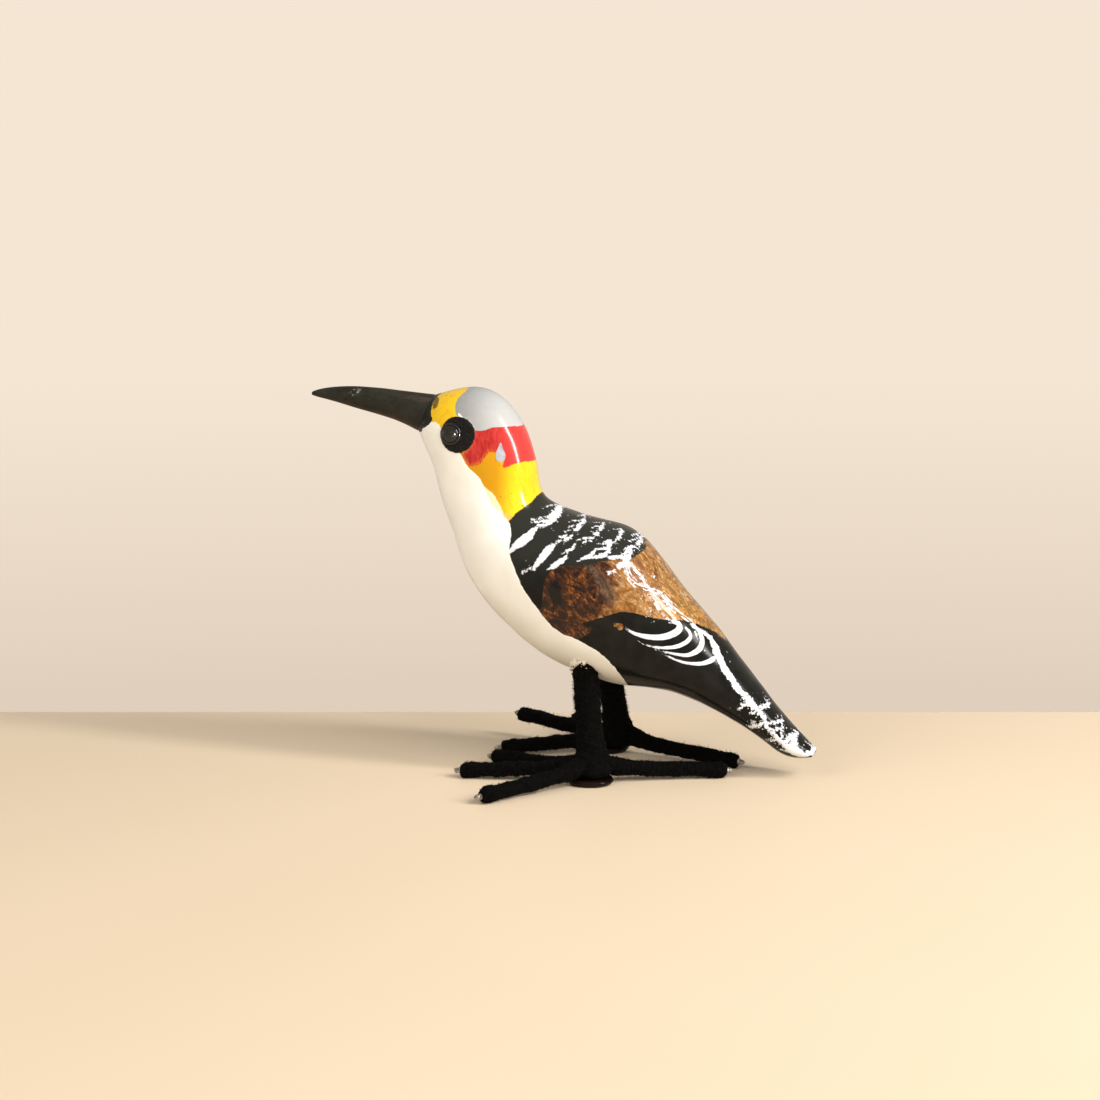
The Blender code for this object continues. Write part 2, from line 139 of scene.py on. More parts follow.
# ---- the painted areas of the left side, as outlines of (x, z) -------------------------------------
YELLOW = (
    (-34, 84), (3, 84), (3, 55), (-2, 54), (-6.5, 52.2), (-8.7, 52.2), (-10.0, 52.9), (-12.5, 54.0),
    (-34, 62),
)
CROWN = (
    (-17, 84), (-18.4, 78.5), (-19.2, 76.4), (-20.6, 74.6), (-20.6, 72.6), (-19.9, 71.4), (-18.6, 70.3),
    (-17.0, 69.2), (-15.2, 68.8), (-13.3, 69.3), (-10.5, 69.5), (-8.0, 69.4), (-2, 69.6), (-2, 84),
)
RED = (
    (-16.5, 71.6), (-17.2, 66.8), (-18.5, 64.9), (-19.0, 64.0), (-18.2, 62.6), (-17.4, 61.8), (-15.9, 62.1),
    (-15.1, 62.5), (-14.2, 63.7), (-13.4, 64.7), (-12.0, 64.4), (-10.7, 63.4), (-10.9, 62.0), (-10.6, 61.5),
    (-8.2, 62.4), (-6.0, 62.4), (-2, 62.2), (-2, 72), (-14, 73),
)
MANTLE = (
    (-1.5, 57.0), (-4.5, 56.0), (-5.7, 54.5), (-7.8, 53.0), (-9.3, 51.3), (-12, 49), (-13, 44), (-9, 37),
    (-4.5, 33.4), (-2.6, 34.4), (-1.9, 36.2), (-1.5, 39.4), (-0.8, 41.4), (0.4, 42.6), (3.0, 43.2),
    (6.2, 43.3), (9.8, 44.2), (13.4, 44.4), (15.6, 44.7), (16.9, 45.7), (16.6, 46.8), (15.6, 48.0),
    (14.5, 52), (5, 58),
)
WING = (
    (0, 27), (5.3, 28.9), (7.6, 30.4), (8.2, 31.1), (6.8, 31.6), (6.0, 32.0), (7.6, 32.7), (9.8, 33.4),
    (13.2, 34.5), (15.6, 34.4), (18.2, 33.7), (21.2, 32.9), (24.6, 32.4), (27.2, 31.6), (29.2, 30.4),
    (31.0, 29.2), (32.9, 27.2), (36, 25.5), (44, 22), (60, 10), (60, -6), (8, -6), (8, 16), (0, 20),
)
CREAM = (
    (-45, 69.6), (-30, 69.3), (-25.8, 70.1), (-24.0, 69.8), (-22.8, 68.4), (-21.2, 66.0), (-19.4, 64.4),
    (-18.4, 62.6), (-17.1, 61.0), (-15.6, 59.8), (-14.2, 57.8), (-12.4, 56.4), (-11.4, 54.6),
    (-10.3, 52.4), (-9.0, 50.6), (-8.6, 48.6), (-8.7, 45.6), (-7.8, 42.6), (-5.7, 38.4), (-3.0, 34.7),
    (-1.1, 32.2), (1.4, 30.0), (5.2, 28.6), (9.4, 26.1), (12.1, 23.1), (13.7, 20.0), (14.2, 15), (14, 5),
    (-45, 5),
)
BEAK_PAINT = (
    (-45, 80), (-26.6, 76.5), (-25.2, 75.0), (-26.0, 73.8), (-25.9, 71.6), (-25.6, 70.6), (-26.5, 69.4),
    (-28.0, 68.6), (-30, 67.4), (-45, 64),
)
AMBER_SPOT = ((-25.3, 75.0), (-24.6, 74.2), (-24.8, 73.0), (-25.5, 72.6), (-25.9, 73.6))
DROP = (
    (-11.5, 66.6), (-11.0, 65.2), (-10.5, 64.0), (-10.8, 62.9), (-11.5, 62.7), (-12.2, 63.2), (-12.3, 64.3),
    (-11.9, 65.5),
)
KNOT = ((-0.3, 38.4), (0.4, 40.4), (1.4, 40.6), (2.0, 38.2), (2.1, 36.2), (1.2, 35.6), (0.2, 36.4))
GREY_FIGURE = (
    (6.2, 43.4), (8.8, 43.2), (10.4, 41.4), (11.8, 39.8), (12.8, 37.4), (12.2, 35.8), (10.6, 36.2),
    (9.4, 38.4), (8.4, 40.4), (7.4, 41.8),
)
WORN_GAP = ((12.4, 32.3), (13.3, 32.4), (14.2, 31.6), (14.0, 31.0), (13.2, 31.2))
EYE_PATCH = (-19.9, 67.95, 3.55)  # centre as x and z, and radius
# How far each thick coat of paint stands up.
EYE_PATCH_HEIGHT = 0.3
DROP_HEIGHT = 0.10
MARK_HEIGHT = 0.05
CREAM_HEIGHT = 0.04

# ---- the white brush marks of the left side --------------------------------------------------------
# Each mark is a line of (x, z, half width). Its touch says how far, in millimetres, its edge wanders:
# in level teeth, in streaks along the brush's way, and in a ragged spatter.
TOUCH = {
    "wet": (0.0, 0.05, 0.10),
    "leaf": (0.55, 0.05, 0.6),
    "teeth": (0.8, 0.0, 1.0),
    "streaky": (0.2, 2.9, 0.9),
    "ragged": (0.4, 0.4, 1.3),
}
MARKS = (
    ("teeth", (
        (-1.1, 53.8, 0.65), (-0.6, 52.8, 0.85), (-1.1, 51.7, 0.85), (-2.1, 50.8, 0.6), (-3.2, 50.3, 0.3),
    )),
    ("leaf", (
        (-3.3, 50.7, 0.1), (-4.6, 49.2, 0.7), (-5.8, 48.0, 1.0), (-7.3, 46.8, 0.7), (-8.7, 45.5, 0.35),
    )),
    ("teeth", (
        (4.2, 51.8, 0.3), (4.7, 50.9, 0.4), (4.0, 49.9, 0.45), (3.5, 48.9, 0.5), (2.6, 48.1, 0.35),
        (1.5, 47.9, 0.2),
    )),
    ("leaf", (
        (1.5, 48.3, 0.15), (0.2, 47.0, 0.45), (-1.1, 45.9, 0.85), (-2.2, 44.4, 0.75), (-3.8, 42.4, 0.3),
    )),
    ("ragged", ((-4.2, 42.6, 0.2), (-5.8, 41.7, 0.15))),
    ("teeth", (
        (8.2, 50.9, 0.25), (8.5, 50.1, 0.32), (8.1, 49.3, 0.38), (7.3, 48.2, 0.4), (5.7, 47.5, 0.2),
    )),
    ("leaf", ((4.3, 47.7, 0.1), (3.7, 46.5, 0.4), (1.5, 45.3, 0.1))),
    ("leaf", ((2.9, 45.7, 0.1), (2.2, 44.4, 0.5), (0.6, 43.4, 0.5), (-0.8, 42.5, 0.15))),
    ("teeth", (
        (11.9, 49.7, 0.3), (12.2, 48.9, 0.38), (11.8, 47.9, 0.4), (10.5, 47.1, 0.42), (10.8, 46.1, 0.35),
        (9.9, 45.3, 0.35), (8.3, 45.0, 0.2),
    )),
    ("leaf", ((8.1, 46.2, 0.2), (7.2, 45.2, 0.4), (5.0, 44.3, 0.15))),
    ("teeth", (
        (14.9, 48.1, 0.3), (15.9, 47.2, 0.4), (15.5, 46.6, 0.45), (14.3, 46.1, 0.45), (14.6, 45.3, 0.45),
        (13.8, 44.7, 0.42), (12.4, 44.8, 0.25), (10.8, 44.9, 0.15),
    )),
    ("leaf", ((14.4, 44.5, 0.4), (13.8, 43.6, 0.55), (12.7, 43.0, 0.45))),
    ("leaf", ((11.0, 41.9, 0.4), (11.0, 41.7, 0.3))),
    ("ragged", ((11.9, 42.3, 0.25), (12.2, 42.3, 0.2))),
    ("ragged", ((19.0, 40.8, 0.25), (19.4, 40.5, 0.2))),
    ("ragged", ((24.5, 36.6, 0.18), (24.8, 36.4, 0.15))),
    ("ragged", ((19.2, 34.8, 0.2), (19.2, 34.0, 0.2))),
    ("streaky", (
        (14.1, 43.9, 0.4), (14.8, 41.7, 0.3), (15.9, 40.1, 0.36), (17.6, 39.1, 0.32), (19.2, 38.5, 0.26),
        (20.8, 37.5, 0.2),
    )),
    ("streaky", ((15.9, 42.3, 0.14), (16.9, 41.0, 0.22), (18.1, 39.8, 0.2), (19.1, 38.7, 0.25))),
    ("ragged", (
        (18.9, 37.2, 0.1), (19.9, 36.0, 0.22), (20.5, 34.9, 0.24), (21.8, 33.4, 0.15), (23.0, 32.3, 0.25),
    )),
    ("streaky", (
        (20.8, 37.7, 0.2), (21.7, 36.6, 0.4), (22.9, 35.2, 0.5), (24.3, 33.9, 0.4), (25.7, 32.7, 0.32),
        (26.9, 31.6, 0.3),
    )),
    ("wet", (
        (13.9, 32.0, 0.06), (15.6, 30.7, 0.26), (18.1, 29.8, 0.44), (21.2, 29.5, 0.58), (23.1, 29.9, 0.66),
        (24.4, 30.6, 0.66), (24.5, 31.6, 0.55), (23.3, 32.4, 0.35),
    )),
    ("wet", (
        (16.9, 29.0, 0.04), (18.4, 28.1, 0.14), (21.2, 27.5, 0.27), (24.1, 27.6, 0.38), (26.1, 28.4, 0.42),
        (26.8, 29.6, 0.38), (25.7, 30.9, 0.28),
    )),
    ("wet", (
        (20.0, 27.1, 0.04), (22.8, 26.5, 0.2), (25.4, 25.9, 0.32), (26.9, 26.0, 0.42), (28.4, 26.8, 0.58),
        (28.9, 28.1, 0.58), (28.1, 30.0, 0.48), (26.9, 31.3, 0.35),
    )),
    ("wet", (
        (21.0, 26.7, 0.04), (23.4, 25.4, 0.2), (25.9, 24.4, 0.28), (28.8, 24.1, 0.36), (30.6, 24.5, 0.5),
        (31.5, 25.1, 0.55),
    )),
    ("leaf", (
        (26.6, 31.4, 0.3), (28.1, 30.2, 0.32), (29.4, 29.3, 0.42), (30.6, 28.2, 0.65), (31.4, 26.8, 0.85),
        (32.0, 25.3, 0.9), (33.0, 23.3, 0.8), (34.1, 21.5, 0.75), (35.6, 19.4, 0.62), (36.6, 18.2, 0.55),
        (37.5, 17.3, 0.65),
    )),
    ("ragged", ((27.4, 30.1, 0.2), (28.0, 28.9, 0.18))),
    ("wet", ((33.4, 25.7, 0.12), (33.6, 25.4, 0.1))),
    ("wet", ((34.1, 23.8, 0.13), (34.3, 23.5, 0.1))),
    ("wet", ((29.5, 26.5, 0.12), (29.7, 26.3, 0.1))),
    ("ragged", (
        (37.4, 17.4, 0.7), (38.4, 16.0, 0.75), (40.2, 14.2, 0.55), (40.9, 13.0, 0.55), (41.2, 12.2, 0.5),
        (42.1, 10.8, 0.35), (43.0, 9.8, 0.4), (44.0, 8.7, 0.5), (44.9, 7.7, 0.55), (46.5, 6.4, 0.9),
        (48.5, 5.3, 0.95),
    )),
    ("ragged", ((38.4, 16.0, 0.4), (37.2, 15.7, 0.4), (36.5, 14.9, 0.3))),
    ("ragged", ((40.9, 12.1, 0.3), (40.0, 11.5, 0.32), (38.8, 11.1, 0.42), (37.8, 10.8, 0.15))),
    ("ragged", ((44.0, 8.7, 0.35), (42.6, 8.4, 0.32), (41.4, 8.2, 0.12))),
    ("ragged", ((46.5, 5.9, 0.45), (44.8, 6.3, 0.28), (43.1, 6.7, 0.12))),
    ("ragged", (
        (39.9, 14.9, 0.35), (41.1, 14.9, 0.4), (41.6, 15.2, 0.4), (41.4, 15.8, 0.32), (40.9, 16.5, 0.15),
    )),
    ("ragged", ((38.5, 14.1, 0.15), (39.8, 14.1, 0.32))),
    ("ragged", (
        (42.0, 11.8, 0.12), (43.5, 11.9, 0.4), (44.5, 12.0, 0.35), (44.6, 12.3, 0.28), (44.0, 12.9, 0.15),
    )),
    ("ragged", ((42.9, 10.6, 0.2), (44.1, 10.6, 0.25), (44.5, 10.9, 0.2))),
    ("ragged", ((44.6, 9.1, 0.28), (44.5, 10.0, 0.25), (44.6, 10.9, 0.15))),
    ("ragged", (
        (45.5, 8.1, 0.6), (46.0, 8.9, 0.55), (47.0, 9.1, 0.5), (47.4, 9.3, 0.35), (46.6, 9.9, 0.2),
    )),
    ("ragged", ((45.6, 7.3, 0.6), (47.0, 6.8, 0.7), (47.9, 5.9, 0.7))),
    ("ragged", ((46.9, 7.9, 0.8), (47.1, 8.6, 0.55))),
    ("ragged", ((49.3, 5.3, 0.6), (50.5, 5.7, 0.6), (50.8, 6.3, 0.5), (50.1, 7.2, 0.4), (49.3, 7.9, 0.25))),
    ("ragged", ((39.0, 12.2, 0.28), (39.1, 12.1, 0.2))),
    ("ragged", ((43.6, 12.9, 0.16), (43.7, 12.9, 0.12))),
    ("leaf", ((-20.3, 72.5, 0.1), (-19.6, 71.7, 0.25), (-18.8, 71.1, 0.12))),
)
TOOTH_PITCH = 0.95
MARK_STEP = 0.2  # how finely a mark's line is followed

# ---- how finely the surfaces are laid out ----------------------------------------------------------
CARVING_ROWS = 404
CARVING_SIDES = 236
BEAK_ROWS = 150
BEAK_SIDES = 72
SPAN_STEPS = 16
TOE_ROWS = 300
TOE_SIDES = 26
TOE_HAIRS = 1300
LEG_ROWS = 290
LEG_SIDES = 44
LEG_HAIRS = 2600
ANKLE_ROWS = 110
ANKLE_SIDES = 90
ANKLE_HAIRS = 1100
EYE_SIDES = 64
PAD_SIDES = 72
WIRE_SIDES = 20


# ---- shapes as whole arrays ------------------------------------------------------------------------
def to_row(points):
    """The bird's millimetres as metres in the row's frame."""
    return (np.asarray(points, float) + STANDS_AT) * MM


def unit(vectors):
    """Vectors over their own length."""
    return vectors / np.linalg.norm(vectors, axis=-1, keepdims=True)


def smooth_step(low, high, value):
    """0 below low, 1 above high, and 3t^2 - 2t^3 of the share t between them."""
    t = np.clip((value - low) / (high - low), 0.0, 1.0)
    return t * t * (3.0 - 2.0 * t)


def b_spline(stations, at):
    """Rows at station numbers `at`: a uniform cubic B-spline, with one station mirrored past each end.

    Between stations i and i + 1, with t the share of the way, it is
    ((1-t)^3 a + (3t^3 - 6t^2 + 4) b + (-3t^3 + 3t^2 + 3t + 1) c + t^3 d) / 6.
    """
    padded = np.vstack([2 * stations[0] - stations[1], stations, 2 * stations[-1] - stations[-2]])
    i = np.minimum(at.astype(int), len(padded) - 4)
    t = (at - i)[:, None]
    a, b, c, d = (padded[i + k] for k in range(4))
    middle = (3 * t**3 - 6 * t**2 + 4) * b + (-3 * t**3 + 3 * t**2 + 3 * t + 1) * c
    return ((1 - t) ** 3 * a + middle + t**3 * d) / 6


def curve_through(points, step=0.25, closed=False):
    """Points at an even spacing on a Catmull-Rom curve through the given ones.

    Between p1 and p2 it is p1 + t(p2-p0)/2 + t^2(p0 - 5p1/2 + 2p2 - p3/2) + t^3(3p1 - 3p2 + p3 - p0)/2.
    """
    p = np.asarray(points, float)
    if closed:
        p = np.vstack([p[-1], p, p[0], p[1]])
    else:
        p = np.vstack([2 * p[0] - p[1], p, 2 * p[-1] - p[-2]])
    t = np.linspace(0.0, 1.0, SPAN_STEPS, endpoint=False)[None, :, None]
    p0, p1, p2, p3 = (p[k : len(p) - 3 + k][:, None, :] for k in range(4))
    fine = p1 + t * (p2 - p0) / 2 + t**2 * (p0 - 2.5 * p1 + 2 * p2 - p3 / 2)
    fine = fine + t**3 * (3 * (p1 - p2) + p3 - p0) / 2
    fine = np.vstack([fine.reshape(-1, p.shape[1]), p[-2]])
    gone = np.r_[0.0, np.cumsum(np.linalg.norm(np.diff(fine[:, :2], axis=0), axis=1))]
    even = np.linspace(0.0, gone[-1], max(4, int(gone[-1] / step) + 1))
    return np.stack([np.interp(even, gone, fine[:, k]) for k in range(p.shape[1])], axis=1)


def slices(rows, angles):
    """A ring for each row: an ellipse from the slice's top, at angle 0, down to its bottom."""
    top, low = rows[:, [0, 1]], rows[:, [2, 3]]
    middle, half = (top + low) / 2, (top - low) / 2
    cos, sin = np.cos(angles)[None, :], np.sin(angles)[None, :]
    x = middle[:, 0:1] + half[:, 0:1] * cos
    z = middle[:, 1:2] + half[:, 1:2] * cos
    return np.stack([x, -rows[:, 4:5] * sin, z], axis=-1)


def even_stations(stations, count):
    """Station numbers that stand evenly along the line of the slices' middles and edges."""
    at = np.linspace(0.0, len(stations) - 1.0, 3000)
    rows = b_spline(stations, at)
    tops = np.linalg.norm(np.diff(rows[:, [0, 1]], axis=0), axis=1)
    lows = np.linalg.norm(np.diff(rows[:, [2, 3]], axis=0), axis=1)
    gone = np.r_[0.0, np.cumsum(tops + lows)]
    return np.interp(np.linspace(0.0, gone[-1], count), gone, at)


def rounded_end(rings, reach):
    """The rings and five more that close the last one over.

    Ring by ring the last one shrinks by cos a while it moves on by reach sin a.
    """
    end, middle = rings[-1], rings[-1].mean(0)
    outward = unit(middle - rings[-4].mean(0))
    over = np.radians((20.0, 40.0, 58.0, 74.0, 86.0))[:, None, None]
    cap = middle + (end - middle) * np.cos(over) + outward * reach * np.sin(over)
    return np.concatenate([rings, cap])


def grid_normals(rings):
    """Outward unit normals of a grid of rings: the cross product of its two tangents."""
    along = np.gradient(rings, axis=0)
    round_ = np.roll(rings, -1, axis=1) - np.roll(rings, 1, axis=1)
    normal = np.cross(along, round_)
    normal /= np.maximum(np.linalg.norm(normal, axis=-1, keepdims=True), 1e-12)
    outward = rings - rings.mean(axis=1, keepdims=True)
    return normal * np.sign((normal * outward).sum())


def tube(path, side, radii, sides):
    """A flat path with a ring of `sides` points square to it at each of its points.

    A point is path + r (cos a * side + sin a * (tangent x side)), where side is square to the whole path.
    """
    tangent = unit(np.gradient(path, axis=0))
    other = np.cross(tangent, side)
    angle = TURN * np.arange(sides) / sides
    ring = np.cos(angle)[None, :, None] * side + np.sin(angle)[None, :, None] * other[:, None, :]
    radii = np.broadcast_to(np.asarray(radii, float).reshape(len(path), -1), (len(path), sides))
    return path[:, None, :] + radii[..., None] * ring


def turned(profile, base, axis, sides):
    """A profile of (radius, height) spun about the axis that leaves base."""
    profile = np.asarray(profile, float)
    axis = unit(np.asarray(axis, float))
    side = unit(np.cross(axis, (0.0, 0.0, 1.0) if abs(axis[2]) < 0.9 else (1.0, 0.0, 0.0)))
    other = np.cross(axis, side)
    angle = TURN * np.arange(sides) / sides
    ring = np.cos(angle)[:, None] * side + np.sin(angle)[:, None] * other
    return base + profile[:, 0, None, None] * ring + profile[:, 1, None, None] * axis


def wander(points, size, seed):
    """A smooth wander between about -1 and 1: six sine waves of random headings, about `size` mm long.

    It is 1.6 times their mean.
    """
    draw = np.random.default_rng(seed)
    heading = unit(draw.normal(size=(6, 3))) * TURN / (size * draw.uniform(0.7, 1.4, (6, 1)))
    phase = draw.uniform(0.0, TURN, 6)
    return np.sin(points @ heading.T + phase).mean(axis=-1) * 1.6


def volume(points, triangles):
    """Six times the volume inside the triangles, below zero when they face inwards."""
    a, b, c = (points[triangles[:, k]] for k in range(3))
    return (a * np.cross(b, c)).sum()


def skin(rings):
    """Points, quads and triangles of a grid of rings, fanned to a middle point at each end."""
    rows, columns = rings.shape[:2]
    points = np.vstack([rings.reshape(-1, 3), rings[0].mean(0), rings[-1].mean(0)])
    j = np.arange(columns)
    k = (j + 1) % columns
    i = np.arange(rows - 1)[:, None] * columns
    quads = np.stack([i + j, i + k, i + k + columns, i + j + columns], axis=-1).reshape(-1, 4)
    last = (rows - 1) * columns
    pole = rows * columns
    ends = np.vstack([
        np.stack([k, j, np.full(columns, pole)], axis=1),
        np.stack([j + last, k + last, np.full(columns, pole + 1)], axis=1),
    ])
    middle = points - points.mean(0)
    if volume(middle, np.vstack([quads[:, [0, 1, 2]], quads[:, [0, 2, 3]], ends])) < 0:
        quads, ends = quads[:, ::-1], ends[:, ::-1]
    return points, quads, ends


def many(shapes):
    """Several skins as one."""
    points, quads, ends, first = [], [], [], 0
    for shape in shapes:
        points.append(shape[0])
        quads.append(shape[1] + first)
        ends.append(shape[2] + first)
        first += len(shape[0])
    return np.vstack(points), np.vstack(quads), np.vstack(ends)


def make_piece(name, shape, finish, nodes=()):
    """A mesh piece from points, quads and triangles, on the one body, which stands for its CAD nodes."""
    points, quads, triangles = shape
    corners = np.concatenate([quads.ravel(), triangles.ravel()]).astype(np.int32)
    sizes = np.r_[np.full(len(quads), 4), np.full(len(triangles), 3)]
    mesh = bpy.data.meshes.new(name)
    mesh.vertices.add(len(points))
    mesh.vertices.foreach_set("co", to_row(points).astype(np.float32).ravel())
    mesh.loops.add(len(corners))
    mesh.loops.foreach_set("vertex_index", corners)
    mesh.polygons.add(len(sizes))
    mesh.polygons.foreach_set("loop_start", np.r_[0, np.cumsum(sizes)[:-1]].astype(np.int32))
    mesh.update(calc_edges=True)
    mesh.shade_smooth()
    mesh.materials.append(finish)
    piece = bpy.data.objects.new(name, mesh)
    bpy.context.scene.collection.objects.link(piece)
    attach(piece, "root")
    if nodes:
        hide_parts(*nodes)
    return piece


def give(piece, name, values):
    """One number for each point of a piece, which its finish reads by name."""
    stored = piece.data.attributes.new(name, "FLOAT", "POINT")
    stored.data.foreach_set("value", np.asarray(values, np.float32))


# ---- painted areas and brush marks as distances ------------------------------------------------------
def depth_inside(places, outline, smooth=True):
    """How far inside a closed outline each (x, z) lies: the distance to its nearest side, below zero outside.

    A place is inside when a level line from it crosses the outline an odd number of times.
    """
    corners = curve_through(outline, step=0.4, closed=True)[:-1] if smooth else np.asarray(outline, float)
    inside = np.zeros(len(places), bool)
    nearest = np.full(len(places), np.inf)
    for start, end in zip(corners, np.roll(corners, -1, axis=0)):
        run = end - start
        offset = places - start
        share = np.clip(offset @ run / (run @ run), 0.0, 1.0)
        nearest = np.minimum(nearest, ((offset - share[:, None] * run) ** 2).sum(1))
        crosses = (start[1] > places[:, 1]) != (end[1] > places[:, 1])
        level = start[0] + (places[:, 1] - start[1]) * run[0] / (run[1] if run[1] else 1.0)
        inside ^= crosses & (places[:, 0] < level)
    return np.sqrt(nearest) * np.where(inside, 1.0, -1.0)


def with_teeth():
    """Every mark, and for each comb-like one its teeth: short level strokes that leave its line forwards."""
    draw = np.random.default_rng(31)
    drawn = []
    for kind, line in MARKS:
        drawn.append((kind, line))
        if kind == "teeth":
            spine = curve_through(line, step=TOOTH_PITCH)
            for x, z, wide in spine[:-1]:
                x, z = x + draw.uniform(-0.1, 0.2), z + draw.uniform(-0.15, 0.15)
                long_ = draw.uniform(0.8, 2.8) * (0.6 + wide)
                tooth = ((x, z, 0.3), (x - long_ * 0.5, z - 0.04, 0.26), (x - long_, z - 0.1 * long_, 0.13))
                drawn.append(("leaf", tooth))
    return drawn


def paint_marks(folded):
    """The white marks on points folded onto the left side.

    For each point: its depth inside the nearest mark, how far it lies along and across it, and its touch.
    """
    count = len(folded)
    depth = np.full(count, -6.0)
    along, across = np.zeros(count), np.zeros(count)
    touch = np.zeros((count, 3))
    left = folded[folded[:, 1] <= 0.0]
    seat_every = 3  # every third point of a line is seated on the surface, and the rest lie between
    for kind, line in with_teeth():
        drawn = curve_through(line, step=MARK_STEP)
        nearest = ((left[None, :, [0, 2]] - drawn[::seat_every, None, :2]) ** 2).sum(-1).argmin(1)
        seats = left[nearest]
        share = np.arange(len(drawn)) / seat_every
        y = np.interp(share, np.arange(len(seats)), seats[:, 1])
        line3 = np.stack([drawn[:, 0], y, drawn[:, 1]], axis=1)
        reach = drawn[:, 2].max() + 3.0
        near = np.all((folded > line3.min(0) - reach) & (folded < line3.max(0) + reach), axis=1)
        at = np.flatnonzero(near)
        gap = folded[at, None, :] - line3[None, :, :]
        inside = drawn[None, :, 2] - np.linalg.norm(gap, axis=2)
        best = inside.argmax(1)
        here = inside[np.arange(len(at)), best]
        way = unit(np.gradient(line3, axis=0))[best]
        gap = gap[np.arange(len(at)), best]
        gone = MARK_STEP * best + (gap * way).sum(1)
        beside = gap[:, 0] * way[:, 2] - gap[:, 2] * way[:, 0]
        better = here > depth[at]
        at = at[better]
        depth[at], along[at], across[at] = here[better], gone[better], beside[better]
        touch[at] = TOUCH[kind]
    return depth, along, across, touch


# ---- finishes ----------------------------------------------------------------------------------------
def colour(code):
    """A colour code as linear red, green and blue."""
    share = np.array([int(code[k : k + 2], 16) for k in (0, 2, 4)]) / 255.0
    return tuple(np.where(share <= 0.04045, share / 12.92, ((share + 0.055) / 1.055) ** 2.4))


class Value:
    """A socket in a sum. Each operator adds the Math node that works it out."""

    def __init__(self, finish, socket):
        self.finish = finish
        self.socket = socket

    def sum(self, operation, *terms):
        return self.finish.node("ShaderNodeMath", {"operation": operation}, dict(enumerate(terms)))

    def __add__(self, other):
        return self.sum("ADD", self, other)

    def __radd__(self, other):
        return self.sum("ADD", other, self)

    def __sub__(self, other):
        return self.sum("SUBTRACT", self, other)

    def __rsub__(self, other):
        return self.sum("SUBTRACT", other, self)

    def __mul__(self, other):
        return self.sum("MULTIPLY", self, other)

    def __rmul__(self, other):
        return self.sum("MULTIPLY", other, self)

    def __abs__(self):
        return self.sum("ABSOLUTE", self)

    def most(self, other):
        return self.sum("MAXIMUM", self, other)

    def rising(self, low, high):
        """0 below low and 1 above high, with a smooth step between."""
        return self.finish.node(
            "ShaderNodeMapRange",
            {"interpolation_type": "SMOOTHSTEP"},
            {"Value": self, "From Min": low, "From Max": high, "To Min": 0.0, "To Max": 1.0},
        )


class Finish:
    """A material whose nodes are written as sums of values."""

    def __init__(self, name, **fixed):
        self.material = bpy.data.materials.new(name)
        self.material.use_nodes = True
        self.tree = self.material.node_tree
        self.shader = self.tree.nodes["Principled BSDF"]
        for socket, value in fixed.items():
            self.feed(self.shader.inputs[socket.replace("_", " ")], value)

    def feed(self, socket, value):
        """Links a value to a socket, or sets the socket to a number, colour or vector."""
        if isinstance(value, Value):
            self.tree.links.new(value.socket, socket)
        elif socket.type == "RGBA":
            socket.default_value = (*value, 1.0)
        else:
            socket.default_value = value

    def node(self, kind, settings=None, sockets=None, output=0):
        """Adds a node: its type, its settings, then the values or links of its sockets."""
        made = self.tree.nodes.new(kind)
        for name, value in (settings or {}).items():
            if name == "stops":
                while len(made.color_ramp.elements) < len(value):
                    made.color_ramp.elements.new(0.5)
                for stop, (place, shade) in zip(made.color_ramp.elements, value):
                    stop.position = place
                    stop.color = (*shade, 1.0)
            else:
                setattr(made, name, value)
        for key, value in (sockets or {}).items():
            self.feed(made.inputs[key], value)
        return Value(self, made.outputs[output])

    def place(self):
        """Object coordinates in millimetres."""
        at = self.node("ShaderNodeTexCoord", output="Object")
        return self.node("ShaderNodeVectorMath", {"operation": "SCALE"}, {0: at, "Scale": 1.0 / MM})

    def stored(self, name):
        """A number kept on the piece's points."""
        return self.node("ShaderNodeAttribute", {"attribute_name": name}, output="Fac")

    def stretched(self, vector, *by):
        return self.node("ShaderNodeVectorMath", {"operation": "MULTIPLY"}, {0: vector, 1: by})

    def noise(self, vector, scale, detail=2.0, roughness=0.5, distortion=0.0):
        """Noise from 0 to 1 with features about 1 / scale millimetres wide."""
        sockets = {"Vector": vector, "Scale": scale, "Detail": detail, "Roughness": roughness}
        return self.node("ShaderNodeTexNoise", None, {**sockets, "Distortion": distortion})

    def mix(self, share, one, two, blend="MIX"):
        settings = {"data_type": "RGBA", "blend_type": blend}
        return self.node("ShaderNodeMix", settings, {0: share, 6: one, 7: two}, output=2)

    def ramp(self, value, *stops):
        return self.node("ShaderNodeValToRGB", {"stops": stops}, {0: value}, output="Color")

    def blend(self, share, one, two):
        """Two numbers blended by a share."""
        return one + share * (two - one)

    def wear(self, **looks):
        """Feeds the shader's varying sockets."""
        for socket, value in looks.items():
            self.feed(self.shader.inputs[socket.replace("_", " ")], value)
        return self.material

    def bumped(self, height, strength=1.0):
        """A normal from a height in millimetres."""
        return self.node("ShaderNodeBump", None, {"Strength": strength, "Distance": MM, "Height": height})


GRAIN_TURN = -41.0  # degrees the grain leans from the level


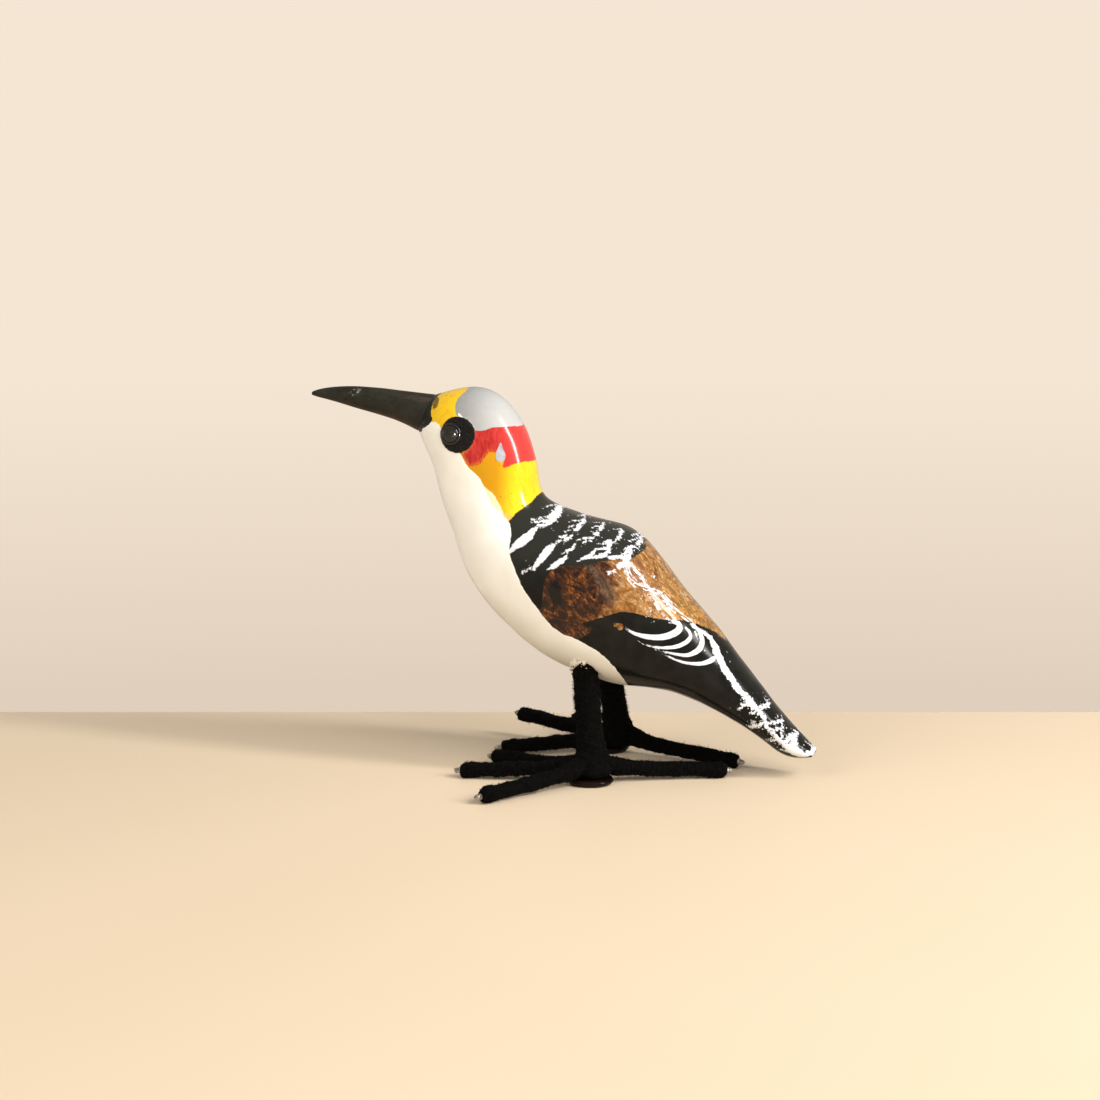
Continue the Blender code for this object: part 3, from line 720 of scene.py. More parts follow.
def bare_wood(f, place):
    """The varnished wood of the saddle: dark red in front, golden behind, and curled all over with veins."""
    lie = {"Vector": place, "Rotation": (0.0, math.radians(GRAIN_TURN), 0.0)}
    along = f.node("ShaderNodeMapping", {"vector_type": "POINT"}, lie)
    grain = f.stretched(along, 0.55, 1.0, 1.0)
    figure = f.noise(grain, 0.42, 7.0, 0.64, 2.4)
    fine = f.noise(f.stretched(along, 0.35, 1.0, 1.0), 2.8, 3.0, 0.7, 0.8)
    swirl = f.node("ShaderNodeTexNoise", None, {"Vector": place, "Scale": 0.7, "Detail": 3.0}, output="Color")
    curled = {0: swirl, 1: (3.0, 3.0, 3.0), 2: grain}
    cell = {"Vector": f.node("ShaderNodeVectorMath", {"operation": "MULTIPLY_ADD"}, curled), "Scale": 0.6}
    crack = f.node("ShaderNodeTexVoronoi", {"feature": "DISTANCE_TO_EDGE"}, cell, output="Distance")
    veins = crack.rising(0.14, 0.02) * fine.rising(0.36, 0.5)
    veins = veins.most(abs(f.noise(grain, 1.2, 4.0, 0.68, 2.0) - 0.5).rising(0.045, 0.0) * 0.85)
    spread = figure * 0.72 + fine * 0.28
    red = f.ramp(
        spread,
        (0.41, colour("1B0B06")),
        (0.47, colour("41200C")),
        (0.53, colour("6B3A13")),
        (0.59, colour("985B24")),
        (0.66, colour("C69048")),
    )
    gold = f.ramp(
        spread,
        (0.40, colour("5E3814")),
        (0.46, colour("9E682C")),
        (0.51, colour("BF8C4A")),
        (0.57, colour("D8AC72")),
        (0.64, colour("F0D5AA")),
    )
    backward = f.stored("rear") + (f.noise(place, 0.35, 3.0, 0.6) - 0.5) * 9.0
    behind = backward.rising(10.0, 13.0)
    red = f.mix(veins * 0.85, red, colour("1C0D07"))
    gold = f.mix(veins * 0.7, gold, colour("5E3D18"))
    tone = f.mix(behind, red, gold)
    amber = backward.rising(19.0, 27.0)
    tone = f.mix(amber * 0.6, tone, f.mix(veins, colour("C58A3A"), colour("5C4A20")))
    tone = f.mix(backward.rising(25.0, 12.0) * behind * 0.5, tone, colour("7E4A1E"))
    dark = f.noise(f.stretched(along, 0.22, 1.0, 1.0), 1.6, 3.0, 0.6).rising(0.60, 0.68)
    tone = f.mix(dark * 0.55, tone, colour("4A2C14"))
    band = f.stored("grey_figure") + (f.noise(place, 0.9, 4.0, 0.7) - 0.5) * 2.4
    ash = f.mix(spread.rising(0.4, 0.62), colour("38271D"), colour("68503F"))
    tone = f.mix(band.rising(-0.3, 0.5) * 0.8, tone, ash)
    knot = f.stored("knot") + (f.noise(place, 0.9, 4.0, 0.7) - 0.5) * 1.8
    tone = f.mix(knot.rising(-1.6, 0.0) * 0.75, tone, colour("200F08"))
    tone = f.mix(knot.rising(-0.3, 0.3), tone, colour("0B0706"))
    relief = fine * 0.05 - veins * 0.03
    return tone, relief


def neck_yellow(f, up, brushed, speck):
    """The neck's yellow: browner in front and brighter behind, partly its own tone and partly painted light
    from the right, brushed darker in streaks, with a few dark specks.
    """
    # Browner in front and lemon behind: partly the paint's own tone, partly painted light from the right.
    tone = f.mix(f.stored("rear").rising(-12.5, -8.0), colour("CB9108"), colour("ECCB1D"))
    tone = f.mix(up.rising(67.0, 70.0), tone, colour("EDBF16"))
    tone = f.mix(brushed.rising(0.45, 0.75) * 0.3, tone, colour("CF8F0A"))
    return f.mix(speck.rising(0.735, 0.75) * 0.8, tone, colour("7A4A0C"))


def band_red(f, scrape):
    """The band's red: darker in front and brighter behind, partly its own tone and partly painted light from
    the right, and orange where it runs out at its front edge.
    """
    tone = f.mix(scrape.rising(0.35, 0.65), colour("A01B1B"), colour("BF3530"))
    # Brighter behind: partly painted light from the right.
    tone = f.mix(f.stored("rear").rising(-13.5, -8.0), tone, colour("DC3B37"))
    orange = f.stored("red").rising(1.0, -0.3) * f.stored("rear").rising(-11.5, -15.0)
    return f.mix(orange * scrape.rising(0.3, 0.55) * 0.9, tone, colour("E07C1A"))


def white_marks(f, place, fine):
    """The white marks' cover, each with its own touch and flecks by the ragged ones, and their colour."""
    teeth = f.noise(f.stretched(place, 0.45, 0.9, 1.25), 1.15, 3.0, 0.65) - 0.5
    along, across = f.stored("along") * 0.25, f.stored("across") * 2.8
    lane = f.node("ShaderNodeCombineXYZ", None, {0: along, 1: across, 2: 3.7})
    streaks = f.noise(lane, 1.0, 3.0, 0.65) - 0.5
    spatter = f.noise(place, 2.0, 4.0, 0.72) - 0.5
    white = f.stored("white") + teeth * f.stored("teeth") * 1.9 + streaks * f.stored("streaks") * 2.2
    white = white + spatter * f.stored("ragged") * 2.0 + fine * 0.12
    flecks = f.noise(place, 1.9, 1.0, 0.3).rising(0.72, 0.74) * f.stored("white").rising(-2.2, -0.4)
    flecks = flecks * f.stored("ragged").rising(0.7, 0.9)
    white = white.rising(-0.05, 0.06).most(flecks)
    pale = f.mix(streaks.rising(-0.2, 0.25), colour("DADCE6"), colour("F4F4F6"))
    return white, pale


def painted_wood():
    """Every layer of the carving's paint over its bare wood, from the neck's yellow to the white marks."""
    f = Finish("painted_wood", Specular_IOR_Level=0.16, Coat_Roughness=0.04)
    place = f.place()
    tone, relief = bare_wood(f, place)
    hand = f.noise(place, 0.55, 3.0, 0.6) - 0.5
    fine = f.noise(place, 2.2, 3.0, 0.6) - 0.5
    speck = f.noise(place, 1.6, 1.0, 0.4)
    brushed = f.noise(f.stretched(place, 0.5, 1.0, 0.35), 1.4, 3.0, 0.6)
    rough = f.blend(f.noise(place, 0.4), 0.14, 0.24)

    def area(name, sway=0.5, nibble=0.15, blur=0.06):
        """An area's cover: its depth with a hand's sway and a bristle's nibble, stepped over the blur."""
        return (f.stored(name) + hand * sway + fine * nibble).rising(-blur, blur)

    # The neck's yellow over a thin primer.
    up = f.node("ShaderNodeSeparateXYZ", None, {0: place}, output="Z")
    yellow = area("yellow", blur=0.08)
    primer = (f.stored("yellow") + fine * 0.5).rising(-2.6, -2.0)
    tone = f.mix(primer, tone, f.mix(speck.rising(0.66, 0.70), colour("E2B65A"), colour("9A6420")))
    tone = f.mix(yellow, tone, neck_yellow(f, up, brushed, speck))

    # The red band and the grey crown.
    scrape = f.noise(f.stretched(place, 1.3, 1.0, 0.35), 1.3, 4.0, 0.7, 0.8)
    red = area("red", 0.5, 0.3, 0.1)
    tone = f.mix(red, tone, band_red(f, scrape))
    # The crown is painted paler behind: painted light from the key on the right.
    grey = f.mix(f.stored("rear").rising(-21.0, -10.0), colour("8F908F"), colour("B9BABA"))
    grey = f.mix(brushed.rising(0.4, 0.8) * 0.08, grey, colour("D0D1D2"))
    crown = area("crown", 0.4, 0.1)
    tone = f.mix(crown, tone, grey)

    # The black of the mantle and the wing, rubbed where it meets the wood, and painted paler higher up as
    # painted light from above.
    rub = f.noise(f.stretched(place, 0.4, 1.0, 1.2), 1.8, 4.0, 0.7) - 0.5
    rubbed = f.mix(fine.rising(-0.1, 0.1), colour("2A190A"), colour("8A5A22"))
    tone = f.mix(f.stored("dry_edge").rising(0.9, 1.4) * 0.7, tone, rubbed)
    ragged = f.stored("black") + hand * 0.35 + fine * 0.3 + rub * f.stored("dry_edge") * 3.2
    black = ragged.rising(-0.06, 0.06)
    black_and_top_light = f.mix(f.noise(place, 0.35, 3.0).rising(0.3, 0.7), colour("11110E"), colour("1B1B18"))
    # Paler grey-black higher up: painted light from above.
    black_and_top_light = f.mix(up.rising(38.0, 46.0) * 0.7, black_and_top_light, colour("2F302C"))
    tone = f.mix(black, tone, black_and_top_light)

    # The breast's cream: thick over a thinner first coat, and darkened where it faces down: painted shade.
    ivory_and_under_shade = f.mix(f.noise(place, 0.15, 3.0).rising(0.3, 0.7), colour("F4F2EA"), colour("F9F8F2"))
    # Painted shade: the cream turns brown-grey where the surface faces down.
    ivory_and_under_shade = f.mix(f.stored("under").rising(0.3, 1.0) * 0.45, ivory_and_under_shade, colour("A89880"))
    cream = area("cream", 0.55, 0.15)
    solid = (f.stored("cream") - f.stored("thin") * 1.5 + hand * 0.5 + fine * 0.3).rising(-0.08, 0.08)
    tone = f.mix(cream * 0.85, tone, colour("F4E6C2"))
    tone = f.mix(solid, tone, ivory_and_under_shade)

    # The black round the beak's root, an amber spot over it, and the pale drop on the cheek.
    beak = area("beak_paint", 0.5, 0.3)
    tone = f.mix(beak, tone, colour("1F1F1B"))
    amber = area("amber", 0.5, 0.5, 0.15)
    tone = f.mix(amber * fine.rising(-0.28, -0.08), tone, colour("6A5414"))

    drop = area("drop", 0.15, 0.05)
    tone = f.mix(drop, tone, f.mix(brushed.rising(0.3, 0.7), colour("969AA6"), colour("BABCC4")))

    # The white marks.
    white, pale = white_marks(f, place, fine)
    tone = f.mix(white, tone, pale)

    # The black patch under the eye.
    ring = area("eye_patch", 0.5, 0.35, 0.05)
    tone = f.mix(ring, tone, f.mix(fine.rising(-0.1, 0.2), colour("100F0F"), colour("232322")))

    # Relief and shine: the wood's own where it is bare, and the paint's thickness elsewhere.
    covered = yellow.most(red).most(crown).most(black).most(cream)
    height = relief * (1.0 - covered)
    height = height + black * 0.02 + cream * 0.03 + crown * 0.02 + red * 0.015 + white * 0.05 + drop * 0.06
    height = height + brushed * covered * 0.012 + scrape * 0.02 * red + f.noise(place, 0.25) * 0.05
    rough = f.blend(cream, rough, 0.3)
    rough = f.blend(ring, rough, 0.34)
    rough = f.blend(white, rough, 0.4)
    hidden = crown.most(black).most(cream).most(ring).most(beak)
    coat = 0.4 * (1.0 - covered) + 0.5 * yellow.most(red) * (1.0 - hidden)
    return f.wear(Base_Color=tone, Roughness=rough, Coat_Weight=coat, Normal=f.bumped(height, 0.8))


def black_lacquer():
    """The beak's greenish black, rubbed pale in places, brown along its lower edge, and brown-grey in its
    groove near the base as a painted reflection.
    """
    f = Finish("black_lacquer", Specular_IOR_Level=0.16)
    place = f.place()
    tone = f.mix(f.noise(place, 0.3, 4.0, 0.6).rising(0.3, 0.7), colour("1F1F19"), colour("2E2D26"))
    streak = f.noise(f.stretched(place, 0.3, 1.0, 1.0), 1.6, 3.0, 0.6)
    tone = f.mix(streak.rising(0.55, 0.7) * 0.5, tone, colour("121210"))
    brown = f.stored("lower").rising(0.78, 0.93) * streak.rising(0.35, 0.55) * 0.75
    tone = f.mix(brown, tone, colour("47281C"))
    # Brown-grey in the groove near the base: a painted reflection.
    tone = f.mix(f.stored("grooved") * streak.rising(0.3, 0.6) * 0.7, tone, colour("4C423B"))
    scuff = f.noise(f.stretched(place, 0.7, 1.0, 1.2), 1.9, 4.0, 0.7)
    worn = scuff.rising(0.50, 0.58) * f.stored("scuffed").rising(0.15, 0.6)
    tone = f.mix(worn * 0.8, tone, colour("A5A39B"))
    rough = f.blend(f.noise(place, 0.5, 3.0), 0.28, 0.45) + worn * 0.2
    height = f.noise(place, 0.35, 2.0) * 0.08 + f.noise(f.stretched(place, 0.3, 1.0, 1.0), 2.0, 3.0) * 0.01
    return f.wear(Base_Color=tone, Roughness=rough, Normal=f.bumped(height, 0.7))


def black_bead():
    """The eyes: glossy black glass with a little dust in the groove."""
    f = Finish("black_bead", Specular_IOR_Level=0.2, Coat_Roughness=0.02)
    place = f.place()
    dust = f.noise(place, 1.8, 4.0, 0.7).rising(0.5, 0.75)
    tone = f.mix(dust * 0.6, colour("0B0B0A"), colour("2A241F"))
    height = f.noise(place, 1.1, 3.0, 0.6) * 0.03 + dust * 0.02
    shine = 0.55 * (1.0 - dust)
    return f.wear(
        Base_Color=tone, Roughness=f.blend(dust, 0.22, 0.5), Coat_Weight=shine, Normal=f.bumped(height, 0.5)
    )


def black_thread():
    """Wound black cotton, with paler fibres and a little lint on its ridges."""
    f = Finish("black_thread", Specular_IOR_Level=0.06)
    place = f.place()
    tone = f.mix(f.noise(place, 1.4, 4.0, 0.7).rising(0.3, 0.75), colour("050505"), colour("0E0D0C"))
    lint = f.noise(f.stretched(place, 1.0, 1.0, 1.4), 3.2, 2.0, 0.5).rising(0.72, 0.76)
    tone = f.mix(lint * 0.3, tone, colour("4A4742"))
    height = f.noise(place, 6.0, 3.0, 0.7) * 0.06
    return f.wear(Base_Color=tone, Roughness=f.blend(f.noise(place, 2.0), 0.8, 1.0), Normal=f.bumped(height))


def loose_fibre():
    """The fuzz that stands off the thread."""
    f = Finish("loose_fibre", Specular_IOR_Level=0.1)
    tone = f.mix(f.noise(f.place(), 0.9, 2.0).rising(0.35, 0.7), colour("080807"), colour("1A1815"))
    return f.wear(Base_Color=tone, Roughness=0.9)


def bare_wire():
    """Dull grey wire with drawn scratches and a paler cut end."""
    f = Finish("bare_wire", Metallic=1.0)
    place = f.place()
    tone = f.mix(f.noise(place, 2.0, 4.0, 0.7).rising(0.35, 0.7), colour("8D8A83"), colour("D5D2C9"))
    rough = f.blend(f.noise(place, 3.0, 3.0), 0.25, 0.5)
    return f.wear(Base_Color=tone, Roughness=rough, Normal=f.bumped(f.noise(place, 7.0, 3.0) * 0.02))


def dark_resin():
    """The pads: thick dark resin, brown where it is thin."""
    f = Finish("dark_resin", Specular_IOR_Level=0.1)
    place = f.place()
    tone = f.mix(f.noise(place, 0.35, 3.0).rising(0.35, 0.7), colour("080605"), colour("1A100C"))
    rough = f.blend(f.noise(place, 0.6), 0.12, 0.25)
    return f.wear(Base_Color=tone, Roughness=rough, Normal=f.bumped(f.noise(place, 0.4, 2.0) * 0.12))


def paint_crumbs():
    """Flecks of thick cream paint and glue round the tops of the legs."""
    f = Finish("paint_crumbs")
    place = f.place()
    tone = f.mix(f.noise(place, 1.2, 3.0).rising(0.35, 0.65), colour("F2EADB"), colour("DCD0BA"))
    return f.wear(Base_Color=tone, Roughness=0.5, Normal=f.bumped(f.noise(place, 2.5, 3.0) * 0.15))


# ---- the carving, its beak and its eyes ------------------------------------------------------------
def carving_rings():
    """The slices of the whole carving, evenly spaced, with the tail's end rounded over."""
    at = even_stations(CARVING, CARVING_ROWS)
    angles = TURN * np.arange(CARVING_SIDES) / CARVING_SIDES
    rings = slices(b_spline(CARVING, at), angles)
    return rounded_end(rings, 0.5)


def carving_spot(station, angle):
    """A point of the carving's surface and its outward normal, by finite steps of 0.05."""
    step = 0.05
    angles = np.array([angle, angle + step])
    here, on = slices(b_spline(CARVING, np.array([station, station + step])), angles)
    normal = unit(np.cross(here[1] - here[0], on[0] - here[0]))
    row = b_spline(CARVING, np.array([station]))[0]
    middle = np.array(((row[0] + row[2]) / 2, 0.0, (row[1] + row[3]) / 2))
    return here[0], normal * np.sign(normal @ (here[0] - middle))


def bump_at(places, middle, spread):
    """1 at the middle and fading all round it: exp(-((x - x0) / a)^2 - ((z - z0) / b)^2)."""
    return np.exp(-(((places - middle) / spread) ** 2).sum(1))


def folded_left(points):
    """Points with the right side's mirrored onto the left, where the paint is drawn.

    The mirrored ones sway by up to about half a millimetre, as a second try by hand would.
    """
    far = smooth_step(0.0, 2.0, points[:, 1])[:, None]
    sway = np.stack([wander(points, 9.0, 5), np.zeros(len(points)), wander(points, 8.0, 6)], axis=1)
    return np.stack([points[:, 0], -np.abs(points[:, 1]), points[:, 2]], axis=1) + sway * far * 0.5


def paint_areas(folded):
    """What the painted finish reads at each folded point: its depth inside each area, and its brush mark."""
    side = folded[:, [0, 2]]
    mantle, wing = depth_inside(side, MANTLE), depth_inside(side, WING)
    dry = np.maximum(bump_at(side, (7.0, 31.0), (3.0, 2.0)), 1.6 * bump_at(side, (13.2, 31.8), (1.1, 0.8)))
    dry = np.maximum(dry, 0.35 * np.exp(-((mantle / 0.8) ** 2)) * (side[:, 0] > 0.0))
    depth, along, across, touch = paint_marks(folded)
    return {
        "yellow": depth_inside(side, YELLOW),
        "red": depth_inside(side, RED),
        "crown": depth_inside(side, CROWN),
        "black": np.minimum(np.maximum(mantle, wing), -depth_inside(side, WORN_GAP)),
        "dry_edge": dry,
        "thin": bump_at(side, (-12.0, 55.2), (3.0, 2.3)),
        "cream": depth_inside(side, CREAM),
        "beak_paint": depth_inside(side, BEAK_PAINT),
        "amber": depth_inside(side, AMBER_SPOT),
        "eye_patch": EYE_PATCH[2] - np.hypot(side[:, 0] - EYE_PATCH[0], side[:, 1] - EYE_PATCH[1]),
        "drop": depth_inside(side, DROP),
        "knot": depth_inside(side, KNOT),
        "grey_figure": depth_inside(side, GREY_FIGURE),
        "rear": side[:, 0],
        "white": depth,
        "along": along,
        "across": across,
        "teeth": touch[:, 0],
        "streaks": touch[:, 1],
        "ragged": touch[:, 2],
    }


def make_carving(finish):
    """The carving with its hand-cut unevenness, its raised eye patches and marks, and its areas of paint.

    It gives back the points of its belly, which the legs enter.
    """
    rings = carving_rings()
    normals = grid_normals(rings)
    flat = rings.reshape(-1, 3)
    areas = paint_areas(folded_left(flat))
    # How far each point faces down, which the finish reads to paint shade under the belly.
    areas["under"] = -normals[..., 2].ravel()
    uneven = wander(flat, 14.0, 1) * 0.10 + wander(flat, 5.0, 2) * 0.04
    raised = EYE_PATCH_HEIGHT * smooth_step(-0.25, 0.3, areas["eye_patch"])
    raised += DROP_HEIGHT * smooth_step(-0.1, 0.4, areas["drop"])
    brushed = MARK_HEIGHT * smooth_step(-0.1, 0.4, areas["white"])
    brushed += CREAM_HEIGHT * smooth_step(-0.2, 0.2, areas["cream"])
    raised += brushed
    rings = rings + normals * (uneven + raised).reshape(rings.shape[:2])[..., None]
    piece = make_piece("carving", skin(rings), finish, ["body"])
    for name, values in areas.items():
        ends = values.reshape(rings.shape[:2])[[0, -1]].mean(1)
        give(piece, name, np.r_[values, ends])
    placed = rings.reshape(-1, 3)
    near_legs = (np.abs(placed[:, 0] - 8.0) < 10.0) & (placed[:, 2] < BELLY_HEIGHT + 9.0)
    return placed[near_legs]


def make_beak(finish):
    """The beak: its slices from inside the face to a blunt point, with a low ridge along the top.

    A shallow groove runs on each side of the ridge, and a keel below; all fade out towards the tip.
    """
    face = CARVING[0].copy()
    top, low = face[[0, 1]], face[[2, 3]]
    outward = unit(np.array((-(top - low)[1], (top - low)[0])))
    inset = np.r_[outward, outward, 0.0] * -0.4
    drawn = BEAK + (face[0], face[1], face[0], face[1], 0.0)
    stations = np.vstack([face + inset, drawn])
    at = even_stations(stations, BEAK_ROWS)
    angles = TURN * np.arange(BEAK_SIDES) / BEAK_SIDES
    rings = slices(b_spline(stations, at), angles)
    share = np.linspace(0.0, 1.0, BEAK_ROWS)[:, None]
    off_top = np.abs((angles + math.pi) % TURN - math.pi)[None, :]
    fade = (1.0 - share) ** 0.7 * smooth_step(0.0, 0.06, share)
    ridge = 0.05 * np.exp(-((off_top / 0.22) ** 2)) - 0.14 * np.exp(-(((off_top - 0.55) / 0.2) ** 2))
    keel = 0.12 * np.exp(-(((math.pi - off_top) / 0.3) ** 2))
    uneven = wander(rings, 7.0, 8) * 0.05 * np.sin(math.pi * share)
    rings = rings + grid_normals(rings) * ((ridge + keel) * fade + uneven)[..., None]
    rings = rounded_end(rings, 0.32)
    share = np.linspace(0.0, 1.0, len(rings))[:, None]
    piece = make_piece("beak_piece", skin(rings), finish, ["beak"])
    # What the lacquer reads: how far down a point faces, the rubbed places, and the groove near the base,
    # where a reflection is painted.
    lower = np.broadcast_to((1.0 - np.cos(angles)) / 2.0, rings.shape[:2])
    side = np.broadcast_to(off_top, rings.shape[:2])
    scuffed = np.exp(-(((share - 0.575 - 0.05 * side) / 0.035) ** 2 + ((side - 1.0) / 0.55) ** 2))
    scuffed = np.maximum(scuffed, smooth_step(0.975, 0.99, share) + 0.0 * side)
    grooved = np.exp(-(((side - 0.75) / 0.25) ** 2)) * smooth_step(0.36, 0.12, share)
    for name, values in (("lower", lower), ("scuffed", scuffed), ("grooved", grooved)):
        give(piece, name, np.r_[values.ravel(), values[0].mean(), values[-1].mean()])


def make_eye(side, finish):
    """A bead turned about the head's normal: a post, a flange with a ridge, a groove and a domed middle."""
    mirror = {"left": 1.0, "right": -1.0}[side]
    point, normal = carving_spot(EYE_STATION, mirror * math.radians(EYE_ANGLE))
    seat = point - normal * EYE_SEAT_DEPTH
    lip = np.radians(np.linspace(-90.0, 130.0, 14))
    flange = [(EYE_RADIUS - 0.3 + 0.3 * math.cos(a), 1.0 + 0.3 * math.sin(a)) for a in lip]
    rise = np.linspace(0.0, math.pi / 2, 18)
    dome = [(1.74 * math.cos(a), 1.02 + 1.05 * math.sin(a)) for a in rise[:-1]]
    profile = [(0.02, -3.6), (0.7, -3.6), (0.7, 0.15), (EYE_RADIUS - 0.1, 0.15), (EYE_RADIUS, 0.3)]
    profile += flange[3:] + [(1.80, 1.02)] + dome + [(0.02, 2.07)]
    rings = turned(profile, seat, normal, EYE_SIDES)
    return make_piece(f"{side}_eye_bead", skin(rings), finish, [f"{side}_eye"])


# ---- the legs and feet -----------------------------------------------------------------------------
class Leg:
    """The places that one leg's pieces share: its line, its bundle of wires and its toes."""

    def __init__(self, side):
        self.side = side
        self.out = {"left": -1.0, "right": 1.0}[side]
        self.ankle = np.array((ANKLE[side][0], self.out * ANKLE[side][1], ANKLE_WIRE_HEIGHT))
        self.belly = np.array((LEG_TOP[side][0], self.out * LEG_TOP[side][1], BELLY_HEIGHT))
        self.pad = np.array((PAD_CENTRE[side][0], self.out * PAD_CENTRE[side][1], 0.0))
        self.up = unit(self.belly - self.ankle)

    def heading(self, degrees):
        """A level direction: 0 is straight ahead and outwards is positive."""
        angle = math.radians(degrees)
        return np.array((-math.cos(angle), self.out * math.sin(angle), 0.0))

    def wire_path(self, toe):
        """A toe's whole wire: down the bundle, round an arc at the ankle, and out past its sleeve."""
        degrees, reach, tip_height, place = TOES[self.side][toe]
        offset = self.heading(TOES[self.side]["middle"][0] + place) * WIRE_PITCH_RADIUS
        corner = self.ankle + offset
        end = np.r_[self.ankle[:2], tip_height] + self.heading(degrees) * reach
        start = self.belly + self.up * LEG_WIRE_IN + offset - self.up * (offset @ self.up)
        into, onward = unit(corner - start), unit(end - corner)
        turn = math.acos(into @ onward)
        back = WIRE_BEND * math.tan(turn / 2)
        centre = corner + unit(onward - into) * (WIRE_BEND / math.cos(turn / 2))
        first = corner - into * back
        spoke, other = first - centre, into * WIRE_BEND
        a = np.linspace(0.0, turn, 18)[:, None]
        bend = centre + spoke * np.cos(a) + other * np.sin(a)
        down = start + (first - start) * np.linspace(0.0, 1.0, 12, endpoint=False)[:, None]
        last = end + onward * WIRE_TIP
        level = corner + onward * back
        away = level + (last - level) * np.linspace(0.0, 1.0, 26)[1:, None]
        return np.vstack([down, bend, away]), unit(np.cross(into, onward))


def wound(path, side, radius, sides, ridge, seed, lumps):
    """A winding of thread along a path.

    Its radius is the given one less the thread's hollows: ridge * (1 - |sin(pi (s / pitch - a / turn))|^0.7),
    where s is the distance along and a the angle round. It adds a slow wander of `lumps`, as from uneven
    hands, and two finer ones.
    """
    gone = np.r_[0.0, np.cumsum(np.linalg.norm(np.diff(path, axis=0), axis=1))][:, None]
    angle = (TURN * np.arange(sides) / sides)[None, :]
    base = tube(path, side, np.ones(len(path)), sides)
    drift = 0.25 * wander(base, 6.0, seed + 1)
    hump = np.abs(np.sin(math.pi * (gone / THREAD_PITCH - angle / TURN + drift)))
    tufts = lumps * wander(base, 3.4, seed) + 0.09 * wander(base, 1.0, seed + 2)
    tufts = tufts + 0.05 * wander(base, 0.55, seed + 3)
    thick = np.asarray(radius, float).reshape(len(path), -1) + tufts - ridge * (1.0 - hump**0.7)
    return tube(path, side, thick, sides)


def fuzz(rings, count, length, seed):
    """Loose fibres: three-sided hairs of four rings that leave the winding and curl over.

    A hair's line is root + n s + t s^2, from its place's normal n and a random sideways pull t.
    """
    draw = np.random.default_rng(seed)
    normals = grid_normals(rings)
    rows, columns = rings.shape[:2]
    i = draw.integers(2, rows - 2, count)
    j = draw.integers(0, columns, count)
    root, normal = rings[i, j] - normals[i, j] * 0.05, normals[i, j]
    pull = draw.normal(size=(count, 3))
    pull -= (pull * normal).sum(1, keepdims=True) * normal
    out = normal * draw.uniform(0.25, 1.0, (count, 1))
    lean = unit(out + unit(pull) * draw.uniform(0.3, 1.2, (count, 1)))
    curl = unit(draw.normal(size=(count, 3))) * draw.uniform(0.1, 0.6, (count, 1))
    long_ = length * draw.uniform(0.35, 1.0, (count, 1, 1)) ** 1.5
    s = np.array((0.0, 0.35, 0.7, 1.0))[None, :, None]
    line = root[:, None] + long_ * (lean[:, None] * s + curl[:, None] * s**2)
    side = unit(np.cross(lean, unit(draw.normal(size=(count, 3)))))
    other = np.cross(lean, side)
    angle = (TURN * np.arange(3) / 3)[None, None, :, None]
    radius = np.array((0.055, 0.045, 0.032, 0.012))[None, :, None, None]
    ring = radius * (np.cos(angle) * side[:, None, None] + np.sin(angle) * other[:, None, None])
    points = (line[:, :, None] + ring).reshape(-1, 3)
    first = (np.arange(count) * 12)[:, None, None]
    k = np.arange(3)
    step = (np.arange(3) * 3)[None, :, None]
    low, low_next = first + step + k, first + step + (k + 1) % 3
    quads = np.stack([low, low_next, low_next + 3, low + 3], axis=-1).reshape(-1, 4)
    hair = np.arange(count)[:, None] * 12
    ends = np.vstack([hair + (2, 1, 0), hair + (9, 10, 11)])
    return points, quads, ends


def make_toe(leg, toe, thread, fibre, wire, seed):
    """One toe: its bent wire with a dressed end, its winding, and the fuzz on it."""
    name = f"{leg.side}_{toe}_toe"
    degrees, reach, tip_height, _ = TOES[leg.side][toe]
    path, side = leg.wire_path(toe)
    onward = unit(path[-1] - path[-2])
    back = np.array(DRESSED_BACK)[:, None]
    shows, at_end, before = WIRE_ENDS[leg.side, toe]
    tip = path[-1] - onward * (WIRE_TIP - shows)
    path = np.vstack([path[:-1], tip - onward * back * shows / WIRE_TIP])
    ending = np.interp(back[:, 0], (0.0, 0.15, 0.6, 1.5), (0.25 * at_end, at_end, before, 1.0))
    radii = WIRE_RADIUS * np.r_[np.ones(len(path) - len(back)), ending]
    rings = tube(path, side, radii, WIRE_SIDES)
    cut = rings[-len(back) - 1 :]
    cut += onward * (wander(cut, 1.1, seed + 7)[..., None] * 0.12)
    make_piece(f"{name}_core", skin(rings), wire, [f"{name}_wire"])
    out = leg.heading(degrees)
    end = np.r_[leg.ankle[:2], tip_height] + out * reach
    root = leg.ankle + out * 1.4 - (0.0, 0.0, 0.5)
    share = np.linspace(0.0, 1.0, TOE_ROWS)[:, None]
    across = np.array((-out[1], out[0], 0.0))
    line = root + (end - root) * share
    line = line + across * np.sin(math.pi * share) * 0.35 * math.sin(seed * 2.3)
    rise = 0.9 * np.exp(-((share / 0.16) ** 2))
    line[:, 2] += rise[:, 0]
    gone = share[:, 0] * np.linalg.norm(end - root)
    left = gone[-1] - gone
    close = np.sqrt(np.clip(1.0 - (1.0 - np.clip(left / 1.3, 0.0, 1.0)) ** 2, 0.0, 1.0))
    radius = 0.62 + (TOE_RADIUS + 0.02 - 0.62) * close + 0.5 * np.exp(-(gone / 5.0) ** 2)
    radius += 0.12 * np.exp(-(((left - 2.0) / 1.2) ** 2))
    rings = wound(line, across, radius, TOE_SIDES, 0.12, seed, 0.16)
    make_piece(f"{name}_winding", skin(rings), thread, [f"{name}_sleeve"])
    make_piece(f"{name}_fuzz", fuzz(rings, TOE_HAIRS, 0.62, seed + 50), fibre)


